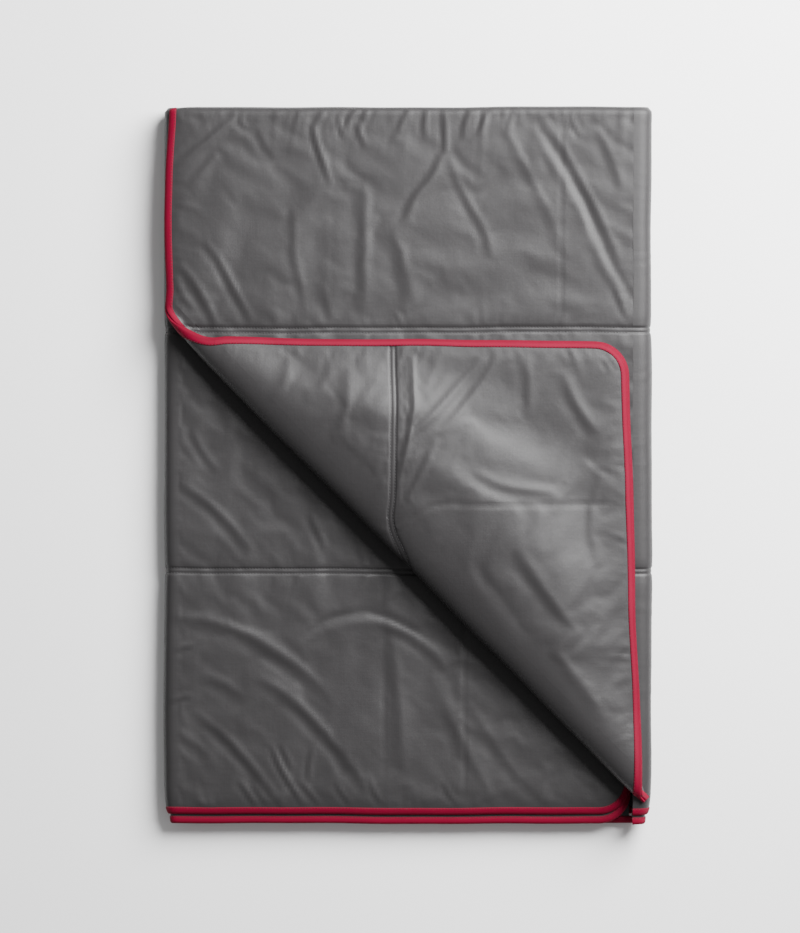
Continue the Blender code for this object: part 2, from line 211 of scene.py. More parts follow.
def sway(points):
    """Folded cloth never lies quite straight: each layer's edges wander by about a millimetre."""
    x, y, z = points.T
    side = np.sin(8.3 * y + 55 * z + 0.4) + 0.6 * np.sin(21 * y - 80 * z + 1.1) + 0.35 * np.sin(47 * y + 2.0)
    end = np.sin(9.7 * x + 70 * z + 2.2) + 0.6 * np.sin(24 * x - 60 * z) + 0.35 * np.sin(53 * x + 0.7)
    return points + np.column_stack((0.0007 * side, 0.0006 * end, np.zeros(len(points))))


def roll_place(x, y):
    """Where a flat place of the top third is: along the diagonal, and past the start of the roll."""
    plan = np.stack((x, y), -1) - NOSE
    along_fold = plan @ ALONG
    radius = roll_radius(along_fold)
    return along_fold, radius + SHEET - plan @ INWARD, radius


def fold_top(across, along, height):
    """The top third and its turned-back corner, measured leftwards from the right fold."""
    offset, y = round_half_fold(along, height)
    x = RIGHT_FOLD_X - across
    along_fold, past, radius = roll_place(x, y)
    x = x + free_side_bow(y) * ease(across, FREE_ACROSS - 0.07, FREE_ACROSS) * ease(-past, 0, 0.04)
    along_fold, past, radius = roll_place(x, y)
    scale = radius / ROLL_RADIUS
    quarter = radius * math.pi / 2
    turn = np.clip(past / radius, 0, math.pi / 2)
    rising = np.interp((past - quarter) / scale, CROWN_RUNS, CROWN_TURNS)
    beyond = np.maximum(past - quarter - scale * CROWN_RUNS[-1], 0)
    share = np.clip(beyond / DESCENT, 0, 1)
    drop = (1 + CROWN_RISE) * radius - 2 * SHEET
    slope = -6 * share * (1 - share) * drop / DESCENT
    inward = radius + SHEET - np.minimum(past, 0) - radius * np.sin(turn)
    inward += scale * CROWN_REACH * (1 - np.cos(rising)) + beyond
    z = TOP_MIDDLE + radius * (1 - np.cos(turn) + CROWN_RISE * np.sin(rising))
    z -= drop * share * share * (3 - 2 * share)
    lean = np.where(past < quarter, np.sin(turn), np.cos(rising) / CROWN_REACH)
    rise = np.where(past < quarter, np.cos(turn), -np.sin(rising) / CROWN_HEIGHT)
    lean = np.where(share > 0, slope, lean)
    rise = np.where(share > 0, -1.0, rise)
    size = np.hypot(lean, rise)
    inward = inward + offset * lean / size
    plan = NOSE + along_fold[:, None] * ALONG + inward[:, None] * INWARD
    return sway(np.column_stack((plan, z + offset * rise / size)))


def unfolded(place):
    """The flat place of a point that is given on the turned-back corner."""
    plan = np.asarray(place, float) - NOSE
    along_fold = plan @ ALONG
    radius = float(roll_radius(along_fold))
    scale = radius / ROLL_RADIUS
    reach = (plan @ INWARD - SHEET) / (scale * CROWN_REACH)
    turn = math.acos(1 - min(max(reach, 0), 1))
    past = radius * math.pi / 2 + scale * float(np.interp(turn, CROWN_TURNS, CROWN_RUNS))
    past += max(reach - 1, 0) * scale * CROWN_REACH
    return NOSE + along_fold * ALONG + (radius + SHEET - past) * INWARD


print(f"flat width of the folded quilt {RIGHT_FOLD_END + RIGHT_FOLD_X - TOP_FREE_X:.3f} m")

# %% [markdown]
# ## Outlines on the flat cloth
# A sheet's outline has straight sides and rounded corners. The bound edge is the part of it that has tape on,
# so it is kept as its own line: the padding thins towards it, the tape follows it, the puckers start there.
# The turned-back corner came to lie a little short of a true reflection, because its padding takes up cloth.

# %% Lines and arcs
FLAP_SHORT = np.array((0.044, 0.017))
FLAP_EDGE_STEP = 0.002
FOOT_SHORT = 0.020
FLAP_START = 0.010       # how far inward of the nose the flap's upper edge starts
BEND_BELOW = 0.045       # the bend from the free side onto the flap's edge ends this far below the nose
LINE_STEP = 0.004


def arc(centre, radius, first, last, count=14):
    """Points on an arc between two angles in degrees."""
    turns = np.radians(np.linspace(first, last, count))
    return np.column_stack((centre[0] + radius * np.cos(turns), centre[1] + radius * np.sin(turns)))


def evenly(line, step=LINE_STEP):
    """The same line with a point at every step."""
    line = np.asarray(line, float)
    runs = np.hypot(*np.diff(line, axis=0).T)
    keep = np.append(True, runs > 1e-9)
    line = line[keep]
    total = np.append(0, np.cumsum(np.hypot(*np.diff(line, axis=0).T)))
    places = np.linspace(0, total[-1], max(2, int(round(total[-1] / step)) + 1))
    return np.column_stack([np.interp(places, total, line[:, axis]) for axis in (0, 1)])


def curved(points, step=LINE_STEP):
    """A smooth line through a few chosen points."""
    points = np.asarray(points, float)
    if len(points) == 2:
        return evenly(points, step)
    padded = np.vstack((2 * points[0] - points[1], points, 2 * points[-1] - points[-2]))
    share = np.linspace(0, 1, 12, endpoint=False)[:, None]
    made = []
    for a, b, c, d in zip(padded, padded[1:], padded[2:], padded[3:]):
        bend = 2 * b + (c - a) * share + (2 * a - 5 * b + 4 * c - d) * share**2
        made.append((bend + (3 * b - a - 3 * c + d) * share**3) / 2)
    return evenly(np.vstack((*made, points[-1:])), step)


def flap_edge(step):
    """The bound edge of the turned-back corner where it lies: along its top, round its corner and down."""
    def reflected(point):
        return point - 2 * ((point - NOSE) @ INWARD) * INWARD

    plain = reflected(np.array((TOP_FREE_X, OUTER_END)))
    corner = plain - FLAP_SHORT + (step, 0)
    left = reflected(np.array((TOP_FREE_X, 0))) - plain
    left = left / np.hypot(*left)
    foot = NOSE + ALONG * (FOLD_LENGTH - FOOT_SHORT)
    down = (foot - corner) / np.hypot(*(foot - corner))
    middle = (left + down) / np.hypot(*(left + down))
    across = math.acos(left @ down) / 2
    centre = corner + middle * CORNER_RADIUS / math.sin(across)
    first = math.degrees(math.atan2(-left[0], left[1]))
    last = math.degrees(math.atan2(down[0], -down[1]))
    bend = arc(centre, CORNER_RADIUS, first, last)
    start = bend[0] + left * ((bend[0] - NOSE) @ INWARD - FLAP_START) / -(left @ INWARD)
    return evenly(np.vstack((start, bend, foot)))


def top_edge(step):
    """The bound edge of one sheet of the top third on the flat cloth, from the half fold to the foot."""
    turned = np.array([unfolded(point) for point in flap_edge(step)])
    below = turned[:, 1] < NOSE[1] - BEND_BELOW
    free_side = ((TOP_FREE_X, HALF_FOLD_Y), (TOP_FREE_X, NOSE[1] + 0.05), (TOP_FREE_X, NOSE[1] + 0.01))
    first = turned[below][0]
    bend = curved([free_side[1], free_side[2], first, turned[below][8]])
    line = np.vstack((free_side[0], bend, turned[below][9:]))
    return evenly(np.column_stack((RIGHT_FOLD_X - line[:, 0], from_half_fold(line[:, 1]))))


def base_edge():
    """The bound edge of the left and centre thirds: outer sheet, free side, inner sheet."""
    outer = from_half_fold(OUTER_END)
    inner = from_half_fold(INNER_END)
    line = np.vstack((
        (CENTRE_END, outer),
        arc((CORNER_RADIUS, outer - CORNER_RADIUS), CORNER_RADIUS, 90, 180),
        arc((CORNER_RADIUS, CORNER_RADIUS - inner), CORNER_RADIUS, 180, 270),
        (CENTRE_END, -inner),
    ))
    return evenly(line)


BASE_EDGE = base_edge()
TOP_EDGES = {1: top_edge(FLAP_EDGE_STEP), -1: top_edge(0) * (1, -1)}
print(f"bound edge of the base {len(BASE_EDGE) * LINE_STEP:.2f} m")

# %% [markdown]
# ## A flat grid of cloth
# Each sheet starts as a flat grid that is trimmed to its outline. A triangulated fill would follow the
# outline more closely, but a grid wrinkles evenly and its rows can run along the seams, where they are set
# closer together. What the trimming leaves uneven is under the tape.

# %% Grid helpers
FINE = 0.0013
FINE_REACH = 0.008
SNAP = 0.45              # share of the grid's spacing within which a point moves onto the outline


def nearest(points, line):
    """Distance to a line, distance along the line, and the nearest place on it."""
    line = np.asarray(line, float)
    best = np.full(len(points), np.inf)
    along = np.zeros(len(points))
    foot = np.zeros((len(points), 2))
    run = 0.0
    for a, b in zip(line[:-1], line[1:]):
        step = b - a
        length = math.hypot(*step)
        share = np.clip((points - a) @ step / length**2, 0, 1)
        place = a + share[:, None] * step
        gap = np.hypot(*(points - place).T)
        closer = gap < best
        best[closer] = gap[closer]
        along[closer] = run + share[closer] * length
        foot[closer] = place[closer]
        run += length
    return best, along, foot


def inside(points, outline):
    x, y = points.T
    odd = np.zeros(len(points), bool)
    for (ax, ay), (bx, by) in zip(outline, np.roll(outline, -1, axis=0)):
        crosses = (ay > y) != (by > y)
        odd ^= crosses & (x < ax + (y - ay) / ((by - ay) or 1) * (bx - ax))
    return odd


def spaced(start, end, step, fine_places=()):
    """Grid lines between two values, closer together around some places."""
    ticks = [start]
    while ticks[-1] < end - step / 2:
        near = any(abs(ticks[-1] - place) < FINE_REACH for place in fine_places)
        ticks.append(ticks[-1] + (FINE if near else step))
    ticks[-1] = end
    return np.array(ticks)


def flat_cloth(columns, rows, outline):
    """Points and faces of a grid inside a closed outline. Points next to the outline are moved onto it."""
    grid = np.stack(np.meshgrid(columns, rows, indexing="ij"), -1).reshape(-1, 2)
    spacing = np.minimum(*np.meshgrid(np.gradient(columns), np.gradient(rows), indexing="ij")).ravel()
    coarse = outline[:: max(1, len(outline) // 400)]
    gap, _, foot = nearest(grid, np.vstack((coarse, coarse[:1])))
    snapped = gap < SNAP * spacing
    grid[snapped] = foot[snapped]
    kept = inside(grid, coarse) | snapped
    index = np.arange(len(grid)).reshape(len(columns), len(rows))
    quads = np.stack((index[:-1, :-1], index[1:, :-1], index[1:, 1:], index[:-1, 1:]), -1).reshape(-1, 4)
    corners = kept[quads].sum(1)
    faces = [tuple(q) for q in quads[corners == 4].tolist()]
    threes = quads[corners == 3]
    faces += [tuple(c for c in q if kept[c]) for q in threes.tolist()]
    used, flat_index = np.unique(np.concatenate([np.ravel(f) for f in faces]), return_inverse=True)
    sizes = np.cumsum([len(f) for f in faces])[:-1]
    return grid[used], [tuple(f.tolist()) for f in np.split(flat_index, sizes)]


def split_by(points, faces, place, direction):
    """The same cloth with an edge along a straight line, so that it can be parted there."""
    mesh = bpy.data.meshes.new("split")
    mesh.from_pydata([(x, y, 0) for x, y in points], [], faces)
    shape = bmesh.new()
    shape.from_mesh(mesh)
    bmesh.ops.bisect_plane(
        shape,
        geom=shape.verts[:] + shape.edges[:] + shape.faces[:],
        dist=1e-5,
        plane_co=(*place, 0),
        plane_no=(*direction, 0),
    )
    shape.verts.index_update()
    made = np.array([v.co[:2] for v in shape.verts])
    found = [tuple(v.index for v in f.verts) for f in shape.faces]
    flips = [f if area_of(made, f) > 0 else f[::-1] for f in found]
    shape.free()
    bpy.data.meshes.remove(mesh)
    return made, flips


def area_of(points, face):
    x, y = points[list(face)].T
    return 0.5 * float(np.dot(x, np.roll(y, -1)) - np.dot(y, np.roll(x, -1)))


# %% [markdown]
# ## Padding, seams, puckers and creases
# What shapes the cloth from below is the batting. It thins towards a bound edge, it is pressed flat by the
# two rows of stitches at each seam, and the cloth gathers in short puckers next to both. Long soft creases
# come from handling and sharp straight ones from packing. Each is a height that is added to the outer face,
# with its own width. The cloth simulation further on lets the skin settle over them.

# %% Heights
EDGE_HALF = 0.0014
EDGE_RISE = 0.011
EDGE_PINCH = 0.0026
EDGE_PINCH_REACH = 0.02
SEAM_ROW = 0.0034
EDGE_GATHER = (0.0014, 0.022)    # height and reach of the puckers at a bound edge
SEAM_GATHER = (0.0012, 0.018)
FOLD_GATHER = (0.0017, 0.030)
LUMP = 0.0004
CREASE_HEIGHT = 0.00072          # one unit of a crease's height, and of its width, in metres
CREASE_WIDTH = 0.00085
rng = np.random.default_rng(11)
WAVES = [(rng.uniform(150, 560), rng.uniform(0, 2 * math.pi)) for _ in range(9)]


def padding(edge_gap):
    """Half the thickness of a sheet at a distance from its bound edge."""
    return EDGE_HALF + (HALF_SHEET - 0.0003 - EDGE_HALF) * (1 - np.exp(-edge_gap / EDGE_RISE))


def uneven(run, shift=0.0):
    """An uneven wave along a line, mostly between -1 and 1."""
    waves = enumerate(WAVES)
    return sum(np.sin(rate * run + phase + shift * (1 + 0.13 * k)) for k, (rate, phase) in waves) / 3


def puckers(gap, run, reach, start=0.0):
    """Short gathers that start at a seam or an edge and die away from it."""
    lively = 0.35 + 0.65 * np.clip(uneven(run * 0.13, 2.1), 0, 1)
    length = reach * (0.5 + 0.9 * np.clip(uneven(run * 0.31, 5.0), 0, 1))
    fold = np.clip(uneven(run + gap * 0.5 * uneven(run * 0.05, 1.0)), -0.4, 1.2)
    return lively * fold * np.exp(-gap / length) * ease(gap, start, start + 0.004)


def seam_groove(gap):
    """Two rows of stitches with a low band between them, in a wider dip."""
    return -0.0011 * bell(gap - SEAM_ROW, 0.0013) - 0.0007 * bell(gap, 0.004) - 0.0010 * bell(gap, 0.012)


def crease_field(plan, creases):
    """The height of a list of creases, each given as (height, width, points)."""
    field = np.zeros(len(plan))
    for height, width, points in creases:
        line = curved(points, 0.006)
        lo, hi = line.min(0) - 0.004 * width, line.max(0) + 0.004 * width
        near = np.all((plan > lo) & (plan < hi), axis=1)
        gap, run, foot = nearest(plan[near], line)
        side = plan[near] - foot
        length = np.hypot(*np.diff(line, axis=0).T).sum()
        taper = np.sin(math.pi * np.clip(run / length, 0, 1)) ** 0.6
        heading = line[-1] - line[0]
        sign = np.sign(side[:, 0] * heading[1] - side[:, 1] * heading[0])
        across = gap * sign / (width * CREASE_WIDTH)
        shape = np.exp(-1.3 * np.abs(across) ** 1.5) - 0.5 * np.exp(-((across - 1.5) ** 2))
        field[near] += CREASE_HEIGHT * height * shape * taper
    return field


def press_line(plan, points, depth=0.0006, width=0.0016):
    """A sharp crease left by packing."""
    gap, run, _ = nearest(plan, curved(points, 0.01))
    total = np.hypot(*np.diff(np.asarray(points), axis=0).T).sum()
    return -depth * bell(gap, width) * ease(run, 0, 0.04) * ease(total - run, 0, 0.04)


def mottle(plan, size, seed):
    """A soft unevenness of the batting."""
    draw = np.random.default_rng(seed)
    total = np.zeros(len(plan))
    for _ in range(10):
        angle, phase = draw.uniform(0, 2 * math.pi, 2)
        rate = 2 * math.pi / (size * draw.uniform(0.6, 1.8))
        total += np.sin(rate * (plan @ (math.cos(angle), math.sin(angle))) + phase)
    return total / 4


# %% [markdown]
# ## The creases of each layer
# Creases are listed one by one, because they are what makes this quilt look handled: a few long soft folds
# that fan out from the half fold and the free edges, and finer ones next to the seams. Each line is a height
# and a width, near enough in millimetres, followed by points in metres. A negative height is a valley.

# %% Crease lists
TOP_CREASES = [
    (-2.2, 9, [(0.168, 0.488), (0.204, 0.435), (0.240, 0.372), (0.276, 0.293), (0.329, 0.201)]),
    (2.0, 8, [(0.186, 0.488), (0.222, 0.430), (0.262, 0.355), (0.296, 0.280)]),
    (1.6, 10, [(0.130, 0.480), (0.160, 0.420), (0.196, 0.350), (0.222, 0.285)]),
    (2.6, 5, [(0.051, 0.493), (0.052, 0.462), (0.053, 0.431)]),
    (1.9, 8, [(0.053, 0.440), (0.036, 0.402), (0.010, 0.368), (-0.004, 0.330)]),
    (1.9, 8, [(0.053, 0.440), (0.074, 0.385), (0.107, 0.325), (0.118, 0.285)]),
    (2.4, 7, [(-0.235, 0.486), (-0.266, 0.459), (-0.295, 0.435), (-0.322, 0.415)]),
    (1.4, 8, [(-0.262, 0.432), (-0.282, 0.410), (-0.300, 0.391)]),
    (1.8, 4, [(-0.229, 0.487), (-0.232, 0.478), (-0.223, 0.466)]),
    (2.4, 5, [(-0.1145, 0.4875), (-0.129, 0.472), (-0.126, 0.448), (-0.116, 0.418), (-0.105, 0.386)]),
    (1.2, 8, [(-0.205, 0.470), (-0.196, 0.445), (-0.182, 0.425)]),
    (2.3, 7, [(-0.283, 0.3135), (-0.262, 0.285), (-0.238, 0.240), (-0.214, 0.1975)]),
    (2.2, 8, [(-0.318, 0.282), (-0.292, 0.247), (-0.2625, 0.193)]),
    (1.5, 6, [(-0.325, 0.262), (-0.312, 0.236), (-0.296, 0.214)]),
    (1.2, 8, [(-0.157, 0.357), (-0.157, 0.296), (-0.147, 0.249), (-0.140, 0.205)]),
    (1.5, 12, [(-0.060, 0.395), (-0.060, 0.300), (-0.059, 0.205)]),
    (1.3, 14, [(-0.026, 0.345), (-0.008, 0.290), (0.010, 0.215)]),
    (1.3, 9, [(-0.119, 0.255), (-0.110, 0.225), (-0.101, 0.197)]),
    (2.2, 4, [(-0.064, 0.494), (-0.079, 0.483), (-0.085, 0.462)]),
    (2.0, 4, [(-0.096, 0.486), (-0.092, 0.466), (-0.087, 0.452)]),
    (1.8, 5, [(-0.070, 0.475), (-0.064, 0.455), (-0.058, 0.440)]),
    (2.0, 5, [(0.004, 0.494), (-0.006, 0.478), (-0.012, 0.458)]),
    (1.8, 5, [(0.028, 0.494), (0.024, 0.470), (0.027, 0.452)]),
    (2.0, 5, [(0.088, 0.494), (0.080, 0.472), (0.079, 0.450)]),
    (2.2, 5, [(0.120, 0.494), (0.107, 0.478), (0.098, 0.452)]),
    (1.5, 4, [(0.150, 0.494), (0.143, 0.478), (0.141, 0.462)]),
    (1.4, 5, [(0.225, 0.490), (0.232, 0.470), (0.243, 0.455)]),
    (1.2, 9, [(0.262, 0.470), (0.282, 0.430), (0.300, 0.380)]),
    (1.3, 4, [(-0.018, 0.213), (-0.010, 0.200), (-0.006, 0.189)]),
    (1.4, 5, [(0.286, 0.250), (0.298, 0.222), (0.308, 0.198)]),
]
LEFT_CREASES = [
    (2.0, 9, [(-0.318, -0.024), (-0.285, -0.046), (-0.250, -0.078), (-0.215, -0.120)]),
    (1.5, 7, [(-0.300, 0.050), (-0.285, 0.020), (-0.262, -0.010)]),
    (1.6, 6, [(-0.136, -0.067), (-0.125, -0.092), (-0.112, -0.117)]),
    (2.6, 12, [(-0.332, -0.208), (-0.274, -0.217), (-0.222, -0.235), (-0.174, -0.264), (-0.128, -0.301),
               (-0.096, -0.339)]),
    (2.7, 11, [(-0.211, -0.290), (-0.159, -0.326), (-0.117, -0.369), (-0.075, -0.421), (-0.054, -0.455)]),
    (2.4, 9, [(-0.300, -0.340), (-0.257, -0.374), (-0.220, -0.414), (-0.187, -0.456), (-0.172, -0.472)]),
    (1.4, 11, [(-0.290, -0.285), (-0.253, -0.305), (-0.220, -0.326)]),
    (1.3, 10, [(-0.320, -0.370), (-0.285, -0.395), (-0.262, -0.425)]),
    (3.0, 4, [(-0.190, -0.388), (-0.176, -0.422), (-0.153, -0.460), (-0.146, -0.474)]),
    (1.9, 4, [(-0.178, -0.386), (-0.170, -0.402), (-0.160, -0.425)]),
    (2.0, 4, [(-0.133, -0.392), (-0.136, -0.415), (-0.137, -0.440)]),
    (2.2, 4, [(-0.148, -0.440), (-0.134, -0.458), (-0.122, -0.473)]),
    (-2.2, 9, [(-0.133, -0.224), (-0.093, -0.210), (-0.046, -0.207), (0.010, -0.233), (0.034, -0.256)]),
    (1.8, 9, [(-0.040, -0.214), (0.010, -0.238), (0.038, -0.262), (0.054, -0.285)]),
    (1.6, 14, [(-0.024, -0.215), (-0.015, -0.300), (-0.008, -0.380), (-0.004, -0.450)]),
    (1.5, 12, [(0.030, -0.290), (0.060, -0.350), (0.095, -0.420), (0.120, -0.465)]),
    (1.4, 10, [(0.085, -0.330), (0.120, -0.385), (0.160, -0.440)]),
    (1.8, 5, [(-0.215, -0.440), (-0.205, -0.458), (-0.192, -0.473)]),
    (1.9, 5, [(-0.235, -0.436), (-0.222, -0.456), (-0.212, -0.473)]),
    (1.9, 4, [(-0.100, -0.440), (-0.090, -0.458), (-0.078, -0.472)]),
    (1.9, 4, [(-0.052, -0.436), (-0.046, -0.455), (-0.035, -0.472)]),
    (1.6, 4, [(0.050, -0.440), (0.058, -0.458), (0.070, -0.472)]),
    (1.5, 5, [(-0.325, -0.258), (-0.312, -0.252), (-0.296, -0.251)]),
    (1.5, 5, [(-0.330, -0.330), (-0.315, -0.322), (-0.300, -0.321)]),
]
FLAP_CREASES = [
    (2.2, 8, [(0.110, 0.152), (0.075, 0.115), (0.035, 0.070), (-0.002, 0.034)]),
    (2.0, 8, [(0.128, 0.155), (0.100, 0.110), (0.070, 0.072), (0.044, 0.040)]),
    (1.8, 7, [(0.007, 0.154), (0.008, 0.105), (0.006, 0.062), (-0.015, -0.040)]),
    (1.8, 7, [(0.040, 0.036), (0.020, -0.010), (-0.001, -0.050)]),
    (1.8, 10, [(0.215, 0.132), (0.224, 0.105), (0.240, 0.075), (0.262, 0.043)]),
    (1.4, 9, [(0.164, 0.152), (0.168, 0.110), (0.167, 0.066)]),
    (2.0, 4, [(0.276, 0.152), (0.284, 0.146), (0.288, 0.134)]),
    (1.8, 4, [(0.268, 0.150), (0.277, 0.140), (0.279, 0.128)]),
    (1.3, 12, [(-0.080, 0.140), (-0.085, 0.080), (-0.100, 0.030)]),
    (1.4, 12, [(-0.160, 0.150), (-0.172, 0.110), (-0.190, 0.090)]),
    (1.2, 10, [(0.270, -0.010), (0.255, -0.070), (0.262, -0.140)]),
    (1.5, 12, [(0.150, -0.110), (0.180, -0.160), (0.225, -0.220)]),
    (-1.6, 14, [(0.090, -0.135), (0.130, -0.185), (0.170, -0.240)]),
    (1.6, 12, [(0.200, -0.250), (0.240, -0.300), (0.275, -0.355)]),
    (1.2, 9, [(0.090, -0.010), (0.140, -0.030), (0.200, -0.035)]),
]
print(f"{len(TOP_CREASES) + len(LEFT_CREASES) + len(FLAP_CREASES)} creases")

# %% [markdown]
# ## Closing a padded sheet
# A padded sheet is two skins with filling between them. Both skins are made from the same flat cloth, one at
# the upper height and one at the lower, and a strip joins them round the border, so the result is one closed
# form. The flat place of each point is kept as its UV, in metres, so that the weave follows the cloth.

# %% Solid helpers
def shaded_mesh(name, points, faces, flat, material):
    """A smooth mesh with sharp rims, and the flat cloth as its UV map."""
    mesh = bpy.data.meshes.new(name)
    mesh.from_pydata(points.tolist(), [], faces)
    mesh.shade_smooth()
    mesh.set_sharp_from_angle(angle=math.radians(70))
    corners = np.empty(len(mesh.loops), int)
    mesh.loops.foreach_get("vertex_index", corners)
    layer = mesh.uv_layers.new(name="cloth")
    layer.data.foreach_set("uv", flat[corners].astype(np.float32).ravel())
    mesh.materials.append(material)
    obj = bpy.data.objects.new(name, mesh)
    bpy.context.scene.collection.objects.link(obj)
    return obj


def closed_pad(name, flat, faces, upper, under, place, material):
    """Two skins over the same flat cloth, joined along their border."""
    used, inverse = np.unique(np.concatenate([np.array(f) for f in faces]), return_inverse=True)
    sizes = np.cumsum([len(f) for f in faces])[:-1]
    top = [tuple(f.tolist()) for f in np.split(inverse, sizes)]
    count = len(used)
    u, v = flat[used].T
    points = np.vstack((place(u, v, upper[used]), place(u, v, under[used])))
    edges = {(a, b) for face in top for a, b in zip(face, face[1:] + face[:1])}
    rim = sorted((a, b) for a, b in edges if (b, a) not in edges)
    solid = top + [tuple(i + count for i in f[::-1]) for f in top]
    solid += [(b, a, a + count, b + count) for a, b in rim]
    made = shaded_mesh(name, points, solid, np.vstack((flat[used], flat[used])), material)
    print(f"{name}: {len(made.data.vertices)} points, {len(made.data.polygons)} faces")
    return made


# %% [markdown]
# ## Shader maths as Python
# Node graphs are long to write by hand. This small class wraps a node's output socket, so that the maths of a
# pattern reads like maths. Numbers use Math nodes, and colours are mixed with Mix nodes.

# %% Shader maths
class Signal:
    def __init__(self, tree, socket):
        self.tree, self.socket = tree, socket

    def node(self, kind, settings=None, out=0, **inputs):
        """Any node: its type, its settings, and the values or links of its sockets, with _ for a space."""
        made = self.tree.nodes.new(kind)
        for key, value in (settings or {}).items():
            setattr(made, key, value)
        for key, value in inputs.items():
            place = int(key[1:]) if key[0] == "i" and key[1:].isdigit() else key.replace("_", " ")
            socket = made.inputs[place]
            if isinstance(value, Signal):
                self.tree.links.new(value.socket, socket)
            else:
                socket.default_value = value
        return Signal(self.tree, made.outputs[out])

    def maths(self, operation, *others):
        values = {f"i{k}": value for k, value in enumerate((self, *others))}
        return self.node("ShaderNodeMath", {"operation": operation}, **values)

    def __add__(self, other):
        return self.maths("ADD", other)

    def __mul__(self, other):
        return self.maths("MULTIPLY", other)

    def __sub__(self, other):
        return self.maths("SUBTRACT", other)

    def __rsub__(self, other):
        return (self * -1) + other

    def sine(self):
        return self.maths("SINE")

    def power(self, exponent):
        return self.maths("POWER", exponent)

    def clamped(self):
        return self.node("ShaderNodeClamp", Value=self)

    def blend(self, first, second):
        """A colour between two colours, by this value."""
        return self.node(
            "ShaderNodeMix", {"data_type": "RGBA"}, out=2, i0=self, i6=(*first, 1), i7=(*second, 1)
        )


def new_material(name, specular):
    """A material with its Principled shader and the cloth's flat coordinates."""
    material = bpy.data.materials.new(name)
    material.use_nodes = True
    tree = material.node_tree
    shader = tree.nodes["Principled BSDF"]
    shader.inputs["Specular IOR Level"].default_value = specular
    uv = tree.nodes.new("ShaderNodeUVMap")
    uv.uv_map = "cloth"
    return material, shader, Signal(tree, uv.outputs[0])


def set_shader(shader, signals):
    for name, signal in signals.items():
        signal.tree.links.new(signal.socket, shader.inputs[name])


def scaled_noise(uv, scale, detail=2.0, seed=0.0):
    """Noise on the flat cloth, stretched by a scale in each direction."""
    place = uv.node("ShaderNodeMapping", Vector=uv, Scale=(*scale, 1), Location=(seed, seed, 0))
    return uv.node("ShaderNodeTexNoise", Vector=place, Scale=1.0, Detail=detail, Roughness=0.55)


# %% [markdown]
# ## The finishes
# The face cloth is a dense plain weave in a filament yarn, so it has a faint satin gloss, fine streaks along
# both yarns and a slight unevenness where it was handled. The tape is a flat ribbed weave whose yarns run
# across it, duller than the cloth, with its colour a little worn on the ridge. The seams are sewn with a dark
# thread and the tape with a dark red one.

# %% Materials
def cloth_material():
    material, shader, uv = new_material("charcoal_cloth", specular=0.26)
    axes = uv.node("ShaderNodeSeparateXYZ", Vector=uv)
    other = Signal(uv.tree, axes.socket.node.outputs[1])
    yarns = (axes * (2 * math.pi / 0.0011)).sine() * (other * (2 * math.pi / 0.0011)).sine()
    long_streak = scaled_noise(uv, (900, 26))
    cross_streak = scaled_noise(uv, (26, 900), seed=4.0)
    streak = long_streak * 0.5 + cross_streak * 0.5
    handled = scaled_noise(uv, (9, 9), 4.0, seed=9.0)
    shade = (streak * 0.75 + handled * 0.5 - 0.12).clamped()
    colour = shade.blend((0.0150, 0.0141, 0.0146), (0.0235, 0.0222, 0.0229))
    rough = handled * 0.12 + streak * 0.08 + 0.38
    height = streak * 0.00016 + yarns * 0.00003 + scaled_noise(uv, (170, 170), 3.0) * 0.0002
    bump = uv.node("ShaderNodeBump", Strength=0.7, Distance=1.0, Height=height)
    set_shader(shader, {"Base Color": colour, "Roughness": rough, "Normal": bump})
    return material


def tape_material():
    material, shader, uv = new_material("red_ribbed_tape", specular=0.08)
    axes = uv.node("ShaderNodeSeparateXYZ", Vector=uv)
    other = Signal(uv.tree, axes.socket.node.outputs[1])
    ribs = (axes * (2 * math.pi / 0.0009)).sine()
    grain = scaled_noise(uv, (1300, 260), 3.0)
    dye = scaled_noise(uv, (22, 60), 3.0, seed=3.0)
    ridge = (1 - (other * 280 - 1.45).power(2)).clamped()
    shade = (dye * 0.5 + grain * 0.25 + ridge * 0.35).clamped()
    colour = shade.blend((0.085, 0.0005, 0.0085), (0.145, 0.0011, 0.0165))
    rough = 0.72 - ridge * 0.14 + grain * 0.08
    height = ribs * 0.00007 + grain * 0.00012
    bump = uv.node("ShaderNodeBump", Strength=0.8, Distance=1.0, Height=height)
    set_shader(shader, {"Base Color": colour, "Roughness": rough, "Normal": bump})
    return material


def thread_material(name, first, second):
    material, shader, uv = new_material(name, specular=0.4)
    place = uv.node("ShaderNodeTexCoord", out=3)
    twist = uv.node("ShaderNodeTexNoise", Vector=place, Scale=900.0, Detail=2.0)
    set_shader(shader, {
        "Base Color": twist.blend(first, second),
        "Roughness": twist * 0.2 + 0.5,
        "Normal": uv.node("ShaderNodeBump", Strength=0.5, Distance=0.0001, Height=twist),
    })
    return material


CLOTH = cloth_material()
RED_TAPE = tape_material()
DARK_THREAD = thread_material("dark_thread", (0.016, 0.015, 0.016), (0.045, 0.042, 0.044))
TAPE_THREAD = thread_material("dark_red_thread", (0.022, 0.003, 0.005), (0.060, 0.006, 0.012))
print("materials:", [m.name for m in bpy.data.materials])

# %% [markdown]
# ## The top third and the turned-back corner
# These are one piece of cloth on the real quilt, so they are one flat cloth here: it gets its seams, padding
# and creases first, then it is parted where the roll starts and ends, so that the top third and the flap can
# each follow their own body. The outer sheet is seen on the top third and the inner sheet on the flap. Where
# a face lies on another layer it is left without raised creases, so the layers stay clear of each other.

# %% Flat cloth of the top third
STEP = 0.004
TOP_EDGE = np.vstack((TOP_EDGES[-1][::-1], TOP_EDGES[1]))
ROLL_CUTS = (ROLL_CUT, ROLL_CUT - math.pi * ROLL_RADIUS)


